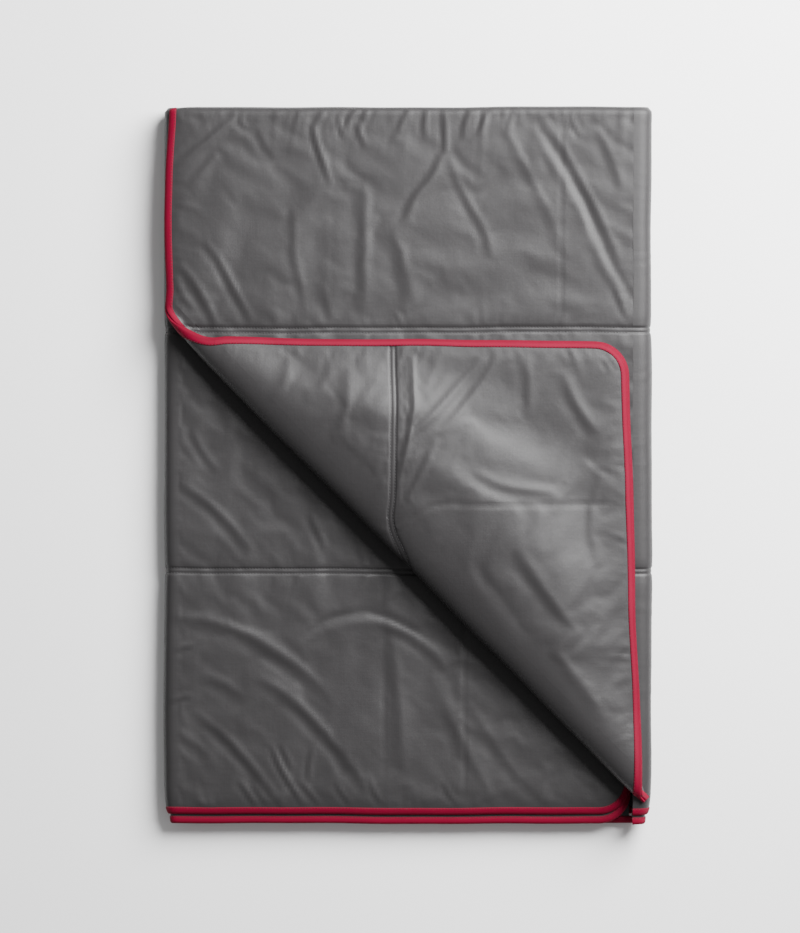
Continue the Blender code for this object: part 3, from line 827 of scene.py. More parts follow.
def to_cloth(point, sign):
    """A flat place in X and Y as a place on the cloth of the outer (1) or inner (-1) sheet."""
    return np.array((RIGHT_FOLD_X - point[0], sign * from_half_fold(point[1])))


FLAP_SEAM_X = (low("flap_inner_seam").x + high("flap_inner_seam").x) / 2


def lower_seam(sign):
    """The lower seam runs straight to the diagonal, round the roll and up the flap."""
    reach = (NOSE[1] - LOWER_SEAM) / -ALONG[1]
    start = NOSE + ALONG * reach + INWARD * ROLL_CUT
    start = start + (LOWER_SEAM - start[1]) / INWARD[1] * INWARD
    flap = [unfolded((FLAP_SEAM_X, y)) for y in (-0.085, -0.04, 0.04, 0.166)]
    straight = [(x, LOWER_SEAM) for x in (RIGHT_FOLD_X, RIGHT_FOLD_X - 0.12, start[0] + 0.02)]
    points = [*straight, *flap]
    return np.array([to_cloth(point, sign) for point in curved(points, 0.006)])


def upper_seam(sign):
    return np.array([to_cloth((x, UPPER_SEAM), sign) for x in (RIGHT_FOLD_X, TOP_FREE_X)])


TOP_SEAMS = [make(sign) for sign in (1, -1) for make in (upper_seam, lower_seam)]
corner_y = NOSE[1] + (ROLL_CUT - (RIGHT_FOLD_X - NOSE[0]) * INWARD[0]) / INWARD[1]
past_corner = np.array((RIGHT_FOLD_X, corner_y)) + ALONG * 0.014
closing = [to_cloth(p, 1) for p in (past_corner, (RIGHT_FOLD_X, corner_y))]
closing += [to_cloth(p, -1) for p in ((RIGHT_FOLD_X, corner_y), past_corner)]
TOP_OUTLINE = np.vstack((TOP_EDGE, closing))
seam_rows = np.concatenate([line[::8, 1] for line in TOP_SEAMS])
seam_rows = [row for row in np.unique(np.round(seam_rows, 3))]
columns = np.append(spaced(-0.032, 0, STEP)[:-1], spaced(0, FREE_ACROSS, STEP))
rows = spaced(TOP_EDGE[:, 1].min(), TOP_EDGE[:, 1].max(), STEP, seam_rows)
top_flat, top_faces = flat_cloth(columns, rows, TOP_OUTLINE)
for sign in (1, -1):
    for cut in ROLL_CUTS:
        direction = (-INWARD[0], -sign * INWARD[1])
        top_flat, top_faces = split_by(top_flat, top_faces, to_cloth(NOSE + cut * INWARD, sign), direction)
print(f"top third: {len(top_flat)} points on {len(columns)} by {len(rows)} lines")

# %% Heights of the top third
SETTLING_WIDTH = 0.11
SETTLING_REACH = 0.09


def edge_closing(edge_gap):
    """Bound edges of the two sheets lie closer together than their middles."""
    return -EDGE_PINCH * np.exp(-edge_gap / EDGE_PINCH_REACH)


def settling(flat, edge_gap):
    """How far the turned-back corner sinks from its crown to lie flat at its free edges."""
    middle = fold_top(*flat.T, np.full(len(flat), -HALF_SHEET))
    excess = np.maximum(middle[:, 2] - 7 * SHEET, 0)
    reach = (middle[:, :2] - NOSE) @ INWARD
    sink = excess * (1 - ease(edge_gap, 0.0, SETTLING_WIDTH)) * ease(reach, 0.0, SETTLING_REACH)
    return np.where(inward_of(flat)[0] < 0, sink * np.sign(flat[:, 1]), 0)


def inward_of(points):
    """How far inward of the diagonal's nose a flat place is."""
    y = HALF_FOLD_Y + HALF_SHEET * math.pi / 2 - np.abs(points[:, 1])
    plan = np.column_stack((RIGHT_FOLD_X - points[:, 0], y))
    return (plan - NOSE) @ INWARD, plan


def cloth_relief(flat, edge, seams):
    """Padding, seams and puckers of a sheet's outer skin, with the padding's half thickness."""
    edge_gap, edge_run, _ = nearest(flat, edge)
    half = padding(edge_gap)
    raised = EDGE_GATHER[0] * puckers(edge_gap, edge_run, EDGE_GATHER[1], TAPE)
    for seam in seams:
        gap, run, _ = nearest(flat, seam)
        near = gap < 0.12
        gathered = SEAM_GATHER[0] * puckers(gap, run, SEAM_GATHER[1], SEAM_ROW + 0.001)
        raised[near] += (seam_groove(gap) + gathered)[near]
    fold_gap = np.abs(flat[:, 1])
    raised += FOLD_GATHER[0] * puckers(fold_gap, flat[:, 0], FOLD_GATHER[1], HALF_SHEET)
    return edge_gap, half, raised


edge_gap, half, relief = cloth_relief(top_flat, TOP_EDGE, TOP_SEAMS)
inward, plan = inward_of(top_flat)
lying = fold_top(*top_flat.T, np.zeros(len(top_flat)))[:, :2]
outer = top_flat[:, 1] > 0
on_flap = inward < 0
shown = (outer & ~on_flap) | (~outer & (inward < ROLL_CUT))
wrinkles = np.where(outer & ~on_flap, crease_field(lying, TOP_CREASES), 0)
wrinkles += np.where(~outer & on_flap, crease_field(lying, FLAP_CREASES), 0)
band = ease(-inward, -0.01, 0.03) * (1 - ease(-inward, 0.09, 0.18))
turned_lumps = mottle(lying @ np.column_stack((ALONG, 1.4 * INWARD)), 0.12, 5)
wrinkles += np.where(~outer, 0.75 * LUMP * turned_lumps * band, 0)
wrinkles += LUMP * mottle(lying, 0.11, 3) * shown
for x, first, last in ((-0.1056, 0.49, 0.19), (0.2125, 0.49, 0.19), (0.332, -0.05, 0.17)):
    wrinkles += press_line(lying, [(x, first), (x, last)]) * (outer & ~on_flap)
flap_press = [(0.294, -0.054), (0.12, -0.056), (0.037, -0.056), (-0.011, -0.090)]
wrinkles += press_line(lying, flap_press, 0.0010, 0.003) * ~outer
top_relief = np.where(shown, relief + wrinkles, np.minimum(relief, 0) - 0.0004)
top_relief *= ease(edge_gap, 0.5 * TAPE, 1.5 * TAPE)
top_shift = edge_closing(edge_gap) + settling(top_flat, edge_gap)
top_upper = top_shift + half + top_relief
top_under = top_shift - half
print(f"relief from {1000 * top_relief.min():.1f} to {1000 * top_relief.max():.1f} mm")

# %% [markdown]
# ## Letting the skin settle
# The creases above are smooth heights, and cloth isn't: it buckles into small folds with sharp crests where
# it has too much length. The visible skins are therefore simulated over the authored form. The cloth is a few
# parts in a hundred longer near seams, edges and the half fold than in the open, as sewing leaves it, and it
# is pinned along the stitches and wherever another layer holds it down. What the simulation adds is read back
# as a small height, so it can't push one layer into the next.

# %% Cloth simulation
CLOTH_STEP = 0.005
CLOTH_FRAMES = 14
CLOTH_REACH = 0.0018
SPARE_OPEN, SPARE_SEWN = -0.0025, -0.045    # spare length in the open and where the cloth is sewn
GATHER_REACH = 0.045
FINE_LUMP = (0.0006, 0.05)                  # height and size of the unevenness that starts the buckling
PINNED, FREE = 0.006, 0.016                 # distance from what holds the cloth


def settled(name, start, end, height_at, freedom_at, gather_at):
    """Simulates a rectangle of flat cloth. Gives a function for the height that it adds at flat places."""
    us = np.arange(start[0], end[0] + CLOTH_STEP, CLOTH_STEP)
    vs = np.arange(start[1], end[1] + CLOTH_STEP, CLOTH_STEP)
    flat = np.stack(np.meshgrid(us, vs, indexing="ij"), -1).reshape(-1, 2)
    index = np.arange(len(flat)).reshape(len(us), len(vs))
    quads = np.stack((index[:-1, :-1], index[1:, :-1], index[1:, 1:], index[:-1, 1:]), -1).reshape(-1, 4)
    height = height_at(flat)
    freedom, gather = freedom_at(flat), gather_at(flat)
    mesh = bpy.data.meshes.new(name)
    mesh.from_pydata(np.column_stack((flat, height)).tolist(), [], quads.tolist())
    obj = bpy.data.objects.new(name, mesh)
    bpy.context.scene.collection.objects.link(obj)
    pins, gathers = obj.vertex_groups.new(name="pins"), obj.vertex_groups.new(name="gathers")
    for value in np.unique(np.round(freedom, 1)):
        pins.add(np.flatnonzero(np.round(freedom, 1) == value).tolist(), float(1 - value), "REPLACE")
    for value in np.unique(np.round(gather, 1)):
        gathers.add(np.flatnonzero(np.round(gather, 1) == value).tolist(), float(value), "REPLACE")
    cloth = obj.modifiers.new("settling", "CLOTH")
    settings = cloth.settings
    settings.quality = 5
    settings.mass = 0.15
    settings.tension_stiffness = settings.compression_stiffness = settings.shear_stiffness = 12
    settings.bending_stiffness = 0.02
    settings.air_damping = 2
    settings.vertex_group_mass, settings.pin_stiffness = "pins", 1
    settings.vertex_group_shrink = "gathers"
    settings.shrink_min, settings.shrink_max = SPARE_OPEN, SPARE_SEWN
    settings.effector_weights.gravity = 0
    cloth.collision_settings.use_collision = False
    scene = bpy.context.scene
    cloth.point_cache.frame_end = CLOTH_FRAMES
    for frame_number in range(1, CLOTH_FRAMES + 1):
        scene.frame_set(frame_number)
    made = obj.evaluated_get(bpy.context.evaluated_depsgraph_get()).to_mesh()
    after = np.empty(3 * len(flat))
    made.vertices.foreach_get("co", after)
    obj.to_mesh_clear()
    obj.modifiers.remove(cloth)
    bpy.data.objects.remove(obj)
    bpy.data.meshes.remove(mesh)
    scene.frame_set(1)
    added = after.reshape(-1, 3)[:, 2] - height
    added = CLOTH_REACH * np.tanh(np.nan_to_num(added) / CLOTH_REACH) * ease(freedom, 0.0, 0.4)
    added = added.reshape(len(us), len(vs))
    print(f"{name}: {len(flat)} points, added {1000 * added.min():.1f} to {1000 * added.max():.1f} mm,"
          f" {1000 * added.std():.2f} mm on the whole")

    def read(places):
        u = np.clip((places[:, 0] - us[0]) / CLOTH_STEP, 0, len(us) - 1.001)
        v = np.clip((places[:, 1] - vs[0]) / CLOTH_STEP, 0, len(vs) - 1.001)
        i, j = u.astype(int), v.astype(int)
        a, b = u - i, v - j
        first = added[i, j] * (1 - b) + added[i, j + 1] * b
        return first * (1 - a) + (added[i + 1, j] * (1 - b) + added[i + 1, j + 1] * b) * a

    return read


def closest(flat, lines):
    """Distance to the nearest of some lines."""
    return np.minimum.reduce([nearest(flat, line[::4])[0] for line in lines])


def gather_near(lines):
    """The cloth is longest next to what gathers it."""
    def gather(flat):
        gap = np.minimum(closest(flat, lines), np.abs(flat[:, 1]))
        return np.clip(np.exp(-gap / GATHER_REACH), 0, 1)

    return gather


def fine_lumps(flat, seed):
    return FINE_LUMP[0] * mottle(flat, FINE_LUMP[1], seed)


def settle_top(name, sign, creases):
    """One sheet of the top third: the outer one (1) up to the diagonal, or the inner one (-1) past it."""
    seams = [line for line in TOP_SEAMS if line[0, 1] * sign > 0]
    span = sorted((0, sign * from_half_fold(OUTER_END)))
    edge = TOP_EDGE[TOP_EDGE[:, 1] * sign > 0]

    def height(flat):
        gap, run, _ = nearest(flat, edge[::3])
        here = fold_top(*flat.T, np.zeros(len(flat)))[:, :2]
        return padding(gap) + crease_field(here, creases) + fine_lumps(flat, 21)

    def freedom(flat):
        gap = closest(flat, [edge, *seams])
        inward = inward_of(flat)[0]
        part = ease(inward, 0.01, 0.03) if sign > 0 else ease(-inward, 0.02, 0.07)
        within = inside(flat, TOP_OUTLINE[::3])
        return ease(gap, PINNED, FREE) * ease(np.abs(flat[:, 1]), PINNED, FREE) * part * within

    start, end = (-0.03, span[0]), (FREE_ACROSS, span[1])
    return settled(name, start, end, height, freedom, gather_near([edge, *seams]))


top_added = settle_top("settling_top_third", 1, TOP_CREASES)
flap_added = settle_top("settling_flap", -1, FLAP_CREASES)
flap_settled = np.where(~outer & on_flap, flap_added(top_flat), 0)
top_upper = top_upper + np.where(outer & ~on_flap, top_added(top_flat), flap_settled)

# %% Parts of the top third
def faces_where(faces, points, wanted):
    centres = np.array([points[list(face)].mean(0) for face in faces])
    chosen = wanted(inward_of(centres)[0])
    return [face for face, keep in zip(faces, chosen) if keep]


TOP_PARTS = {
    "quilt_top_third": lambda inward: inward > ROLL_CUTS[0],
    "quilt_corner_roll": lambda inward: (inward <= ROLL_CUTS[0]) & (inward > ROLL_CUTS[1]),
    "quilt_corner_flap": lambda inward: inward <= ROLL_CUTS[1],
}
PADS = {}
for name, wanted in TOP_PARTS.items():
    part = faces_where(top_faces, top_flat, wanted)
    PADS[name] = closed_pad(name, top_flat, part, top_upper, top_under, fold_top, CLOTH)

# %% [markdown]
# ## The left and centre thirds, and the right fold
# The left third and the centre third are one cloth round the left fold. The part of the left third that shows
# beside the turned-back corner gets its creases; the centre third lies face down, so its cloth is coarser.

# %% Flat cloth of the base
LEFT_SHOWN = 0.2         # the left third shows only farther from the half fold than this


def straight_seam(y, sign, start, end):
    return np.array([(start, sign * from_half_fold(y)), (end, sign * from_half_fold(y))])


BASE_SEAMS = [straight_seam(y, sign, 0, CENTRE_END) for sign in (1, -1) for y in (UPPER_SEAM, LOWER_SEAM)]
base_rows = [line[0, 1] for line in BASE_SEAMS]
outer_rows = spaced(-0.03, BASE_EDGE[:, 1].max(), STEP, base_rows)
inner_rows = spaced(BASE_EDGE[:, 1].min(), -0.03, 2.5 * STEP)
base_columns = np.concatenate((
    spaced(0, LEFT_RUN - 0.01, STEP)[:-1],
    spaced(LEFT_RUN - 0.01, CENTRE_START + 0.01, SHEET / 5)[:-1],
    spaced(CENTRE_START + 0.01, CENTRE_END, 2.5 * STEP),
))
base_flat, base_faces = flat_cloth(base_columns, np.append(inner_rows[:-1], outer_rows), BASE_EDGE)
edge_gap, half, relief = cloth_relief(base_flat, BASE_EDGE, BASE_SEAMS)
lying = fold_sides(*base_flat.T, np.zeros(len(base_flat)))
on_left = (base_flat[:, 1] > 0) & (base_flat[:, 0] < LEFT_RUN + 0.02)
covered = ease((lying[:, :2] - NOSE) @ INWARD, -0.012, 0.012)
wrinkles = crease_field(lying[:, :2], LEFT_CREASES) + LUMP * mottle(lying[:, :2], 0.12, 8)
for x in (-0.0347, 0.079):
    wrinkles += press_line(lying[:, :2], [(x, -0.15), (x, -0.475)], 0.0008)
relief += np.where(on_left, wrinkles, 0)
flattened = np.minimum(relief, 0) - 0.0004
hidden = np.where(on_left, covered, np.where(base_flat[:, 0] > CENTRE_START - 0.01, 1.0, 0.0))
base_relief = relief * (1 - hidden) + flattened * hidden
base_relief = np.where(base_flat[:, 1] < -0.02, flattened, base_relief)
base_relief *= ease(edge_gap, 0.5 * TAPE, 1.5 * TAPE)

def left_height(flat):
    here = fold_sides(*flat.T, np.zeros(len(flat)))[:, :2]
    half = padding(nearest(flat, BASE_EDGE[::3])[0])
    return half + crease_field(here, LEFT_CREASES) + fine_lumps(flat, 23)


def left_freedom(flat):
    gap = closest(flat, [BASE_EDGE, *BASE_SEAMS[:2]])
    here = fold_sides(*flat.T, np.zeros(len(flat)))[:, :2]
    open_part = 1 - ease((here - NOSE) @ INWARD, -0.03, 0.0)
    before_fold = 1 - ease(flat[:, 0], LEFT_RUN - 0.01, LEFT_RUN + 0.01)
    return ease(gap, PINNED, FREE) * ease(flat[:, 1], 0.01, 0.02) * open_part * before_fold


left_added = settled(
    "settling_left_third", (0, LEFT_SHOWN), (LEFT_RUN + 0.02, from_half_fold(OUTER_END)), left_height,
    left_freedom, gather_near([BASE_EDGE, *BASE_SEAMS[:2]]),
)
base_relief = base_relief + np.where(on_left & (base_flat[:, 1] > LEFT_SHOWN), left_added(base_flat), 0)
base_upper = edge_closing(edge_gap) + half + base_relief
base_under = edge_closing(edge_gap) - half
PADS["quilt_base"] = closed_pad(
    "quilt_base", base_flat, base_faces, base_upper, base_under, fold_sides, CLOTH
)

# %% Right fold
RIGHT_EDGES = (
    evenly([(RIGHT_FOLD_END, from_half_fold(OUTER_END)), (CENTRE_END, from_half_fold(OUTER_END))]),
    evenly([(CENTRE_END, -from_half_fold(INNER_END)), (RIGHT_FOLD_END, -from_half_fold(INNER_END))]),
)
RIGHT_SEAMS = [
    straight_seam(y, sign, CENTRE_END, RIGHT_FOLD_END) for sign in (1, -1) for y in (UPPER_SEAM, LOWER_SEAM)
]
right_columns = spaced(CENTRE_END, RIGHT_FOLD_END, SHEET / 4)
right_rows = np.append(inner_rows[:-1], outer_rows)
right_outline = np.vstack(RIGHT_EDGES)
right_flat, right_faces = flat_cloth(right_columns, right_rows, right_outline)
edge_gap = np.minimum(nearest(right_flat, RIGHT_EDGES[0])[0], nearest(right_flat, RIGHT_EDGES[1])[0])
half = padding(edge_gap)
from_nose = np.abs(right_flat[:, 0] - (CENTRE_END + RIGHT_FOLD_END) / 2)
relief = 0.0004 * puckers(from_nose, right_flat[:, 1], 0.03)
for seam in RIGHT_SEAMS:
    gap, run, _ = nearest(right_flat, seam)
    relief += seam_groove(gap)
relief *= ease(edge_gap, 0.5 * TAPE, 1.5 * TAPE)
PADS["quilt_right_fold"] = closed_pad(
    "quilt_right_fold", right_flat, right_faces, edge_closing(edge_gap) + half + relief,
    edge_closing(edge_gap) - half, fold_sides, CLOTH,
)

# %% [markdown]
# ## The folded tape
# The tape is folded over the raw edge and sewn through. Its section is a flattened U that hugs the padding, a
# little raised along its inner part. Sweeping a curve's bevel would twist at the folds, so the section is
# placed through the same fold functions as the cloth: each ring of the tape is a set of flat places and
# heights, and the folds carry it.

# %% Tape
TAPE_THICK = 0.0008
TAPE_STEP = 0.003


def tape_section():
    """(distance in from the edge, height) round the folded tape."""
    in_steps = np.array((1.0, 0.93, 0.72, 0.5, 0.28, 0.08))
    lift = np.array((0.05, 0.85, 1.35, 1.15, 1.1, 0.8)) * TAPE_THICK
    top = [(TAPE * s, padding(TAPE * s) + l) for s, l in zip(in_steps, lift)]
    nose = [(-0.0007, 0.0009), (-0.0011, 0.0), (-0.0007, -0.0009)]
    return np.array(top + nose + [(e, -h) for e, h in top[::-1]])


def tape_along(name, lines, place):
    """Tape along bound edges that have the cloth on their left."""
    section = tape_section()
    points, faces, flat = [], [], []
    for line in lines:
        heading = np.gradient(line, axis=0)
        heading /= np.hypot(*heading.T)[:, None]
        side = np.column_stack((-heading[:, 1], heading[:, 0]))
        start, count = sum(map(len, points)), len(section)
        run = np.append(0, np.cumsum(np.hypot(*np.diff(line, axis=0).T)))
        for k, (inset, height) in enumerate(section):
            where = line + inset * side
            lift = np.full(len(line), height + edge_closing(max(inset, 0)))
            if place is fold_top:
                lift = lift + settling(where, np.full(len(line), max(inset, 0)))
            points.append(place(*where.T, lift))
            flat.append(np.column_stack((run, np.full(len(line), max(inset, 0)))))
        n = len(line)
        for k in range(count):
            here, there = start + k * n, start + (k + 1) % count * n
            faces += [(here + i, here + i + 1, there + i + 1, there + i) for i in range(n - 1)]
        faces.append(tuple(start + k * n for k in range(count)))
        faces.append(tuple(start + k * n + n - 1 for k in range(count))[::-1])
    made = shaded_mesh(name, np.vstack(points), faces, np.vstack(flat), RED_TAPE)
    print(f"{name}: {len(made.data.polygons)} faces")
    return made


def runs_where(line, wanted):
    """The stretches of a line whose places pass a test, each reaching to the first place past it."""
    chosen = wanted(inward_of(line)[0])
    stretches, current = [], []
    for place, keep, before in zip(line, chosen, np.append(False, chosen[:-1])):
        if keep or before:
            current.append(place)
        if current and not keep:
            stretches.append(np.array(current))
            current = []
    if current:
        stretches.append(np.array(current))
    return [stretch for stretch in stretches if len(stretch) > 2]


TOP_TAPE_LINE = evenly(TOP_EDGE, TAPE_STEP)
TAPES = {
    "tape_base": tape_along("tape_base", [evenly(BASE_EDGE, TAPE_STEP)], fold_sides),
    "tape_right_fold": tape_along("tape_right_fold", [evenly(e, TAPE_STEP) for e in RIGHT_EDGES], fold_sides),
}
TAPE_LINES = {"tape_base": [BASE_EDGE], "tape_right_fold": list(RIGHT_EDGES)}
for name, wanted in TOP_PARTS.items():
    tape = name.replace("quilt", "tape")
    TAPE_LINES[tape] = runs_where(TOP_TAPE_LINE, wanted)
    TAPES[tape] = tape_along(tape, TAPE_LINES[tape], fold_top)

# %% [markdown]
# ## Stitches
# A line of stitches is one small twisted bead repeated at a fixed pitch along a path, which is what Geometry
# Nodes are good at. The path is a chain of edges laid on the cloth by the fold functions. The tree turns it
# into a curve, spaces points along it, puts a long bead on each point in line with the path, and makes the
# beads real. The tape's row goes through near its inner edge, and each seam has two rows.

# %% Stitch tree
STITCH_PITCH = 0.0042
STITCH_LENGTH = 0.0030
STITCH_WIDTH = 0.00075


def stitch_tree():
    tree = bpy.data.node_groups.new("row_of_stitches", "GeometryNodeTree")
    sockets = tree.interface
    sockets.new_socket("Path", in_out="INPUT", socket_type="NodeSocketGeometry")
    for name in ("Pitch", "Length", "Width"):
        sockets.new_socket(name, in_out="INPUT", socket_type="NodeSocketFloat")
    sockets.new_socket("Thread", in_out="INPUT", socket_type="NodeSocketMaterial")
    sockets.new_socket("Stitches", in_out="OUTPUT", socket_type="NodeSocketGeometry")
    add = tree.nodes.new
    given, result = add("NodeGroupInput"), add("NodeGroupOutput")
    to_curve, resample = add("GeometryNodeMeshToCurve"), add("GeometryNodeResampleCurve")
    resample.mode = "LENGTH"
    bead, scale = add("GeometryNodeMeshIcoSphere"), add("ShaderNodeCombineXYZ")
    bead.inputs["Radius"].default_value = 0.5
    bead.inputs["Subdivisions"].default_value = 1
    tangent, turn = add("GeometryNodeInputTangent"), add("FunctionNodeAlignRotationToVector")
    turn.axis = "Z"
    instances, real = add("GeometryNodeInstanceOnPoints"), add("GeometryNodeRealizeInstances")
    smooth, paint = add("GeometryNodeSetShadeSmooth"), add("GeometryNodeSetMaterial")
    links = (
        (given.outputs["Path"], to_curve.inputs["Mesh"]),
        (to_curve.outputs["Curve"], resample.inputs["Curve"]),
        (given.outputs["Pitch"], resample.inputs["Length"]),
        (resample.outputs["Curve"], instances.inputs["Points"]),
        (bead.outputs["Mesh"], instances.inputs["Instance"]),
        (tangent.outputs["Tangent"], turn.inputs["Vector"]),
        (turn.outputs["Rotation"], instances.inputs["Rotation"]),
        (given.outputs["Width"], scale.inputs["X"]),
        (given.outputs["Width"], scale.inputs["Y"]),
        (given.outputs["Length"], scale.inputs["Z"]),
        (scale.outputs["Vector"], instances.inputs["Scale"]),
        (instances.outputs["Instances"], real.inputs["Geometry"]),
        (real.outputs["Geometry"], smooth.inputs["Geometry"]),
        (smooth.outputs["Geometry"], paint.inputs["Geometry"]),
        (given.outputs["Thread"], paint.inputs["Material"]),
        (paint.outputs["Geometry"], result.inputs["Stitches"]),
    )
    for source, target in links:
        tree.links.new(source, target)
    return tree


STITCHES = stitch_tree()


def stitched(name, paths, thread):
    """Rows of stitches along chains of points, as one plain mesh."""
    points, edges = [], []
    for path in paths:
        edges += [(len(points) + k, len(points) + k + 1) for k in range(len(path) - 1)]
        points += path.tolist()
    mesh = bpy.data.meshes.new(name)
    mesh.from_pydata(points, edges, [])
    obj = bpy.data.objects.new(name, mesh)
    bpy.context.scene.collection.objects.link(obj)
    modifier = obj.modifiers.new("stitches", "NODES")
    modifier.node_group = STITCHES
    values = {"Pitch": STITCH_PITCH, "Length": STITCH_LENGTH, "Width": STITCH_WIDTH, "Thread": thread}
    for socket in STITCHES.interface.items_tree:
        if socket.in_out == "INPUT" and socket.name in values:
            modifier[socket.identifier] = values[socket.name]
    graph = bpy.context.evaluated_depsgraph_get()
    made = bpy.data.meshes.new_from_object(obj.evaluated_get(graph))
    obj.modifiers.remove(modifier)
    obj.data = made
    made.name = name
    print(f"{name}: {len(made.polygons)} faces")
    return obj


# %% Rows on the tape
ROW_INSET = 0.86


def tape_row(line, place, side_of_tape):
    """A path on the tape near its inner edge: 1 is the outer side of the sheet, -1 the hidden side."""
    heading = np.gradient(line, axis=0)
    heading /= np.hypot(*heading.T)[:, None]
    inset = ROW_INSET * TAPE
    where = line + inset * np.column_stack((-heading[:, 1], heading[:, 0]))
    lift = side_of_tape * (padding(inset) + 1.15 * TAPE_THICK)
    lift = np.full(len(line), lift + edge_closing(inset))
    if place is fold_top:
        lift = lift + settling(where, np.full(len(line), inset))
    return place(*where.T, lift)


def folds_for(name):
    return fold_top if any(part.split("quilt_")[1] in name for part in TOP_PARTS) else fold_sides


SEWN = {}
for tape, lines in TAPE_LINES.items():
    evened = [evenly(line, TAPE_STEP) for line in lines]
    rows_on_tape = [tape_row(line, folds_for(tape), side) for line in evened for side in (1, -1)]
    SEWN[tape.replace("tape", "tape_stitches")] = (rows_on_tape, TAPE_THREAD)

# %% Rows on the seams
def heights_at(flat, upper, places):
    """The outer skin's height at some places on the flat cloth."""
    tree = KDTree(len(flat))
    for index, (u, v) in enumerate(flat):
        tree.insert((u, v, 0), index)
    tree.balance()
    found = [[index for _, index, _ in tree.find_n((u, v, 0), 3)] for u, v in places]
    return upper[np.array(found)].mean(1)


def seam_rows_of(seam, flat, upper, place):
    line = evenly(seam, TAPE_STEP)[3:-3]
    heading = np.gradient(line, axis=0)
    heading /= np.hypot(*heading.T)[:, None]
    side = np.column_stack((-heading[:, 1], heading[:, 0]))
    made = []
    for shift in (-SEAM_ROW, SEAM_ROW):
        where = line + shift * side
        lift = heights_at(flat, upper, where) + 0.3 * STITCH_WIDTH
        made.append((where, lift))
    return made


def placed_rows(rows, place, wanted=None):
    paths = []
    for where, lift in rows:
        chosen = np.ones(len(where), bool) if wanted is None else wanted(inward_of(where)[0])
        if chosen.sum() > 2:
            paths.append(place(*where[chosen].T, lift[chosen]))
    return paths


base_rows_sewn = [row for seam in BASE_SEAMS for row in seam_rows_of(seam, base_flat, base_upper, fold_sides)]
top_rows_sewn = [row for seam in TOP_SEAMS for row in seam_rows_of(seam, top_flat, top_upper, fold_top)]
SEWN["seam_stitches_base"] = (placed_rows(base_rows_sewn, fold_sides), DARK_THREAD)
for name, wanted in TOP_PARTS.items():
    SEWN[name.replace("quilt", "seam_stitches")] = (placed_rows(top_rows_sewn, fold_top, wanted), DARK_THREAD)
THREADS = {name: stitched(name, paths, thread) for name, (paths, thread) in SEWN.items() if paths}

# %% [markdown]
# ## Riding on the bodies
# Each piece follows a body of the frame, except the right fold and the corner's roll, which are baked where
# they lie and follow no body.

# %% Bodies
FOLD_LEVELS = (2 * SHEET, 4 * SHEET)
ROLL_LEVELS = (6 * SHEET, 6 * SHEET + 0.004)


def bend(piece, first, second, levels):
    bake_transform(piece)


def attach(piece):
    name = piece.name
    if "right_fold" in name:
        bend(piece, "base", "top_third", FOLD_LEVELS)
    elif "corner_roll" in name:
        bend(piece, "top_third", "corner_flap", ROLL_LEVELS)
    elif "corner_flap" in name:
        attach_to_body(piece, "corner_flap")
    elif "top_third" in name:
        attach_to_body(piece, "top_third")
    else:
        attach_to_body(piece, "base")


PREFIX = {
    "base": "base_", "right_fold": "right_fold_", "top_third": "top_", "corner_roll": "corner_roll_",
    "corner_flap": "flap_",
}

for name, piece in PADS.items():
    attach(piece)
    prefix = PREFIX[name.removeprefix("quilt_")]
    named = [n for n in frame["nodes"] if n.startswith(prefix)]
    cloth_nodes = [n for n in named if "binding" not in n and "seam" not in n]
    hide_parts(*cloth_nodes)
for name, piece in TAPES.items():
    attach(piece)
    prefix = PREFIX[name.removeprefix("tape_")]
    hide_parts(*[n for n in frame["nodes"] if n.startswith(prefix) and "binding" in n])
for name, piece in THREADS.items():
    attach(piece)
    prefix = PREFIX[name.split("stitches_")[1]]
    if name.startswith("seam"):
        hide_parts(*[n for n in frame["nodes"] if n.startswith(prefix) and "seam" in n])

# %% [markdown]
# ## Floor, light and camera
# The quilt lies on a pale floor under one large soft light from the upper right, with a weak even light from
# all round that keeps the shadows open. The camera looks straight down from far above, so that heights hardly
# change the plan.

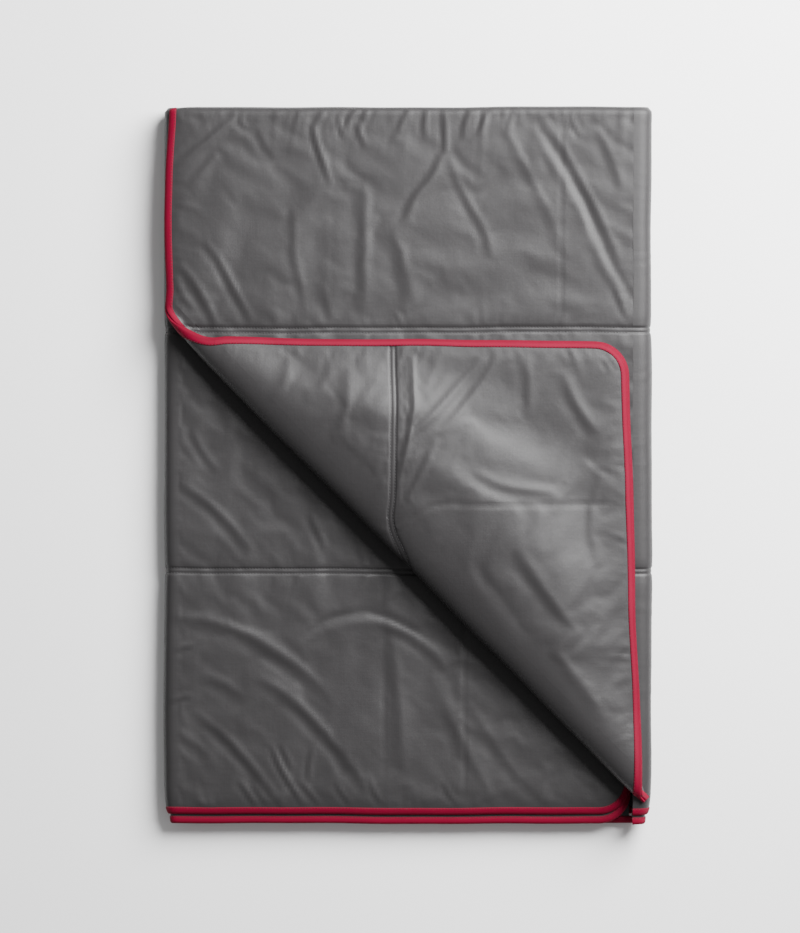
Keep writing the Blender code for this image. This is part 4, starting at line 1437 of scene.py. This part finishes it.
# %% Floor
FLOOR_SIZE = 9
FLOOR_GAP = 0.0006
KEY_PLACE, KEY_AIM = (1.35, 1.38, 1.62), (0.05, 0.05, 0)
KEY_SIZE, KEY_POWER = 2.1, 410
ROOM_LIGHT = 0.38


def floor():
    bpy.ops.mesh.primitive_grid_add(x_subdivisions=8, y_subdivisions=8, size=FLOOR_SIZE)
    plane = bpy.context.object
    plane.name = "studio_floor"
    plane.location.z = CAD_BOX[0][2] - FLOOR_GAP
    material = bpy.data.materials.new("pale_paper")
    material.use_nodes = True
    tree = material.node_tree
    shader = tree.nodes["Principled BSDF"]
    place = Signal(tree, tree.nodes.new("ShaderNodeTexCoord").outputs["Object"])
    tone = place.node("ShaderNodeTexNoise", Vector=place, Scale=1.3, Detail=2.0)
    colour = tone.blend((0.78, 0.78, 0.785), (0.82, 0.82, 0.82))
    set_shader(shader, {"Base Color": colour, "Roughness": tone * 0.1 + 0.75})
    plane.data.materials.append(material)


def area_light(name, place, aim, size, power):
    data = bpy.data.lights.new(name, "AREA")
    data.shape = "DISK"
    data.size = size
    data.energy = power
    obj = bpy.data.objects.new(name, data)
    bpy.context.scene.collection.objects.link(obj)
    obj.location = place
    obj.rotation_euler = (Vector(aim) - Vector(place)).to_track_quat("-Z", "Y").to_euler()


floor()
area_light("soft_key", KEY_PLACE, KEY_AIM, KEY_SIZE, KEY_POWER)
world = bpy.data.worlds.new("studio")
bpy.context.scene.world = world
world.use_nodes = True
world.node_tree.nodes["Background"].inputs["Color"].default_value = (1.0, 1.0, 1.0, 1)
world.node_tree.nodes["Background"].inputs["Strength"].default_value = ROOM_LIGHT

# %% Camera
VIEW_CENTRE = (-0.011, -0.002)
VIEW_LENGTH = 1.296
CAMERA_HEIGHT = 6.0
camera_data = bpy.data.cameras.new("camera")
camera_data.sensor_width = 36.0
camera_data.lens = camera_data.sensor_width * (CAMERA_HEIGHT - TOP_MIDDLE) / VIEW_LENGTH
camera = bpy.data.objects.new("camera", camera_data)
camera.location = (*VIEW_CENTRE, CAMERA_HEIGHT)
bpy.context.scene.collection.objects.link(camera)
bpy.context.scene.camera = camera
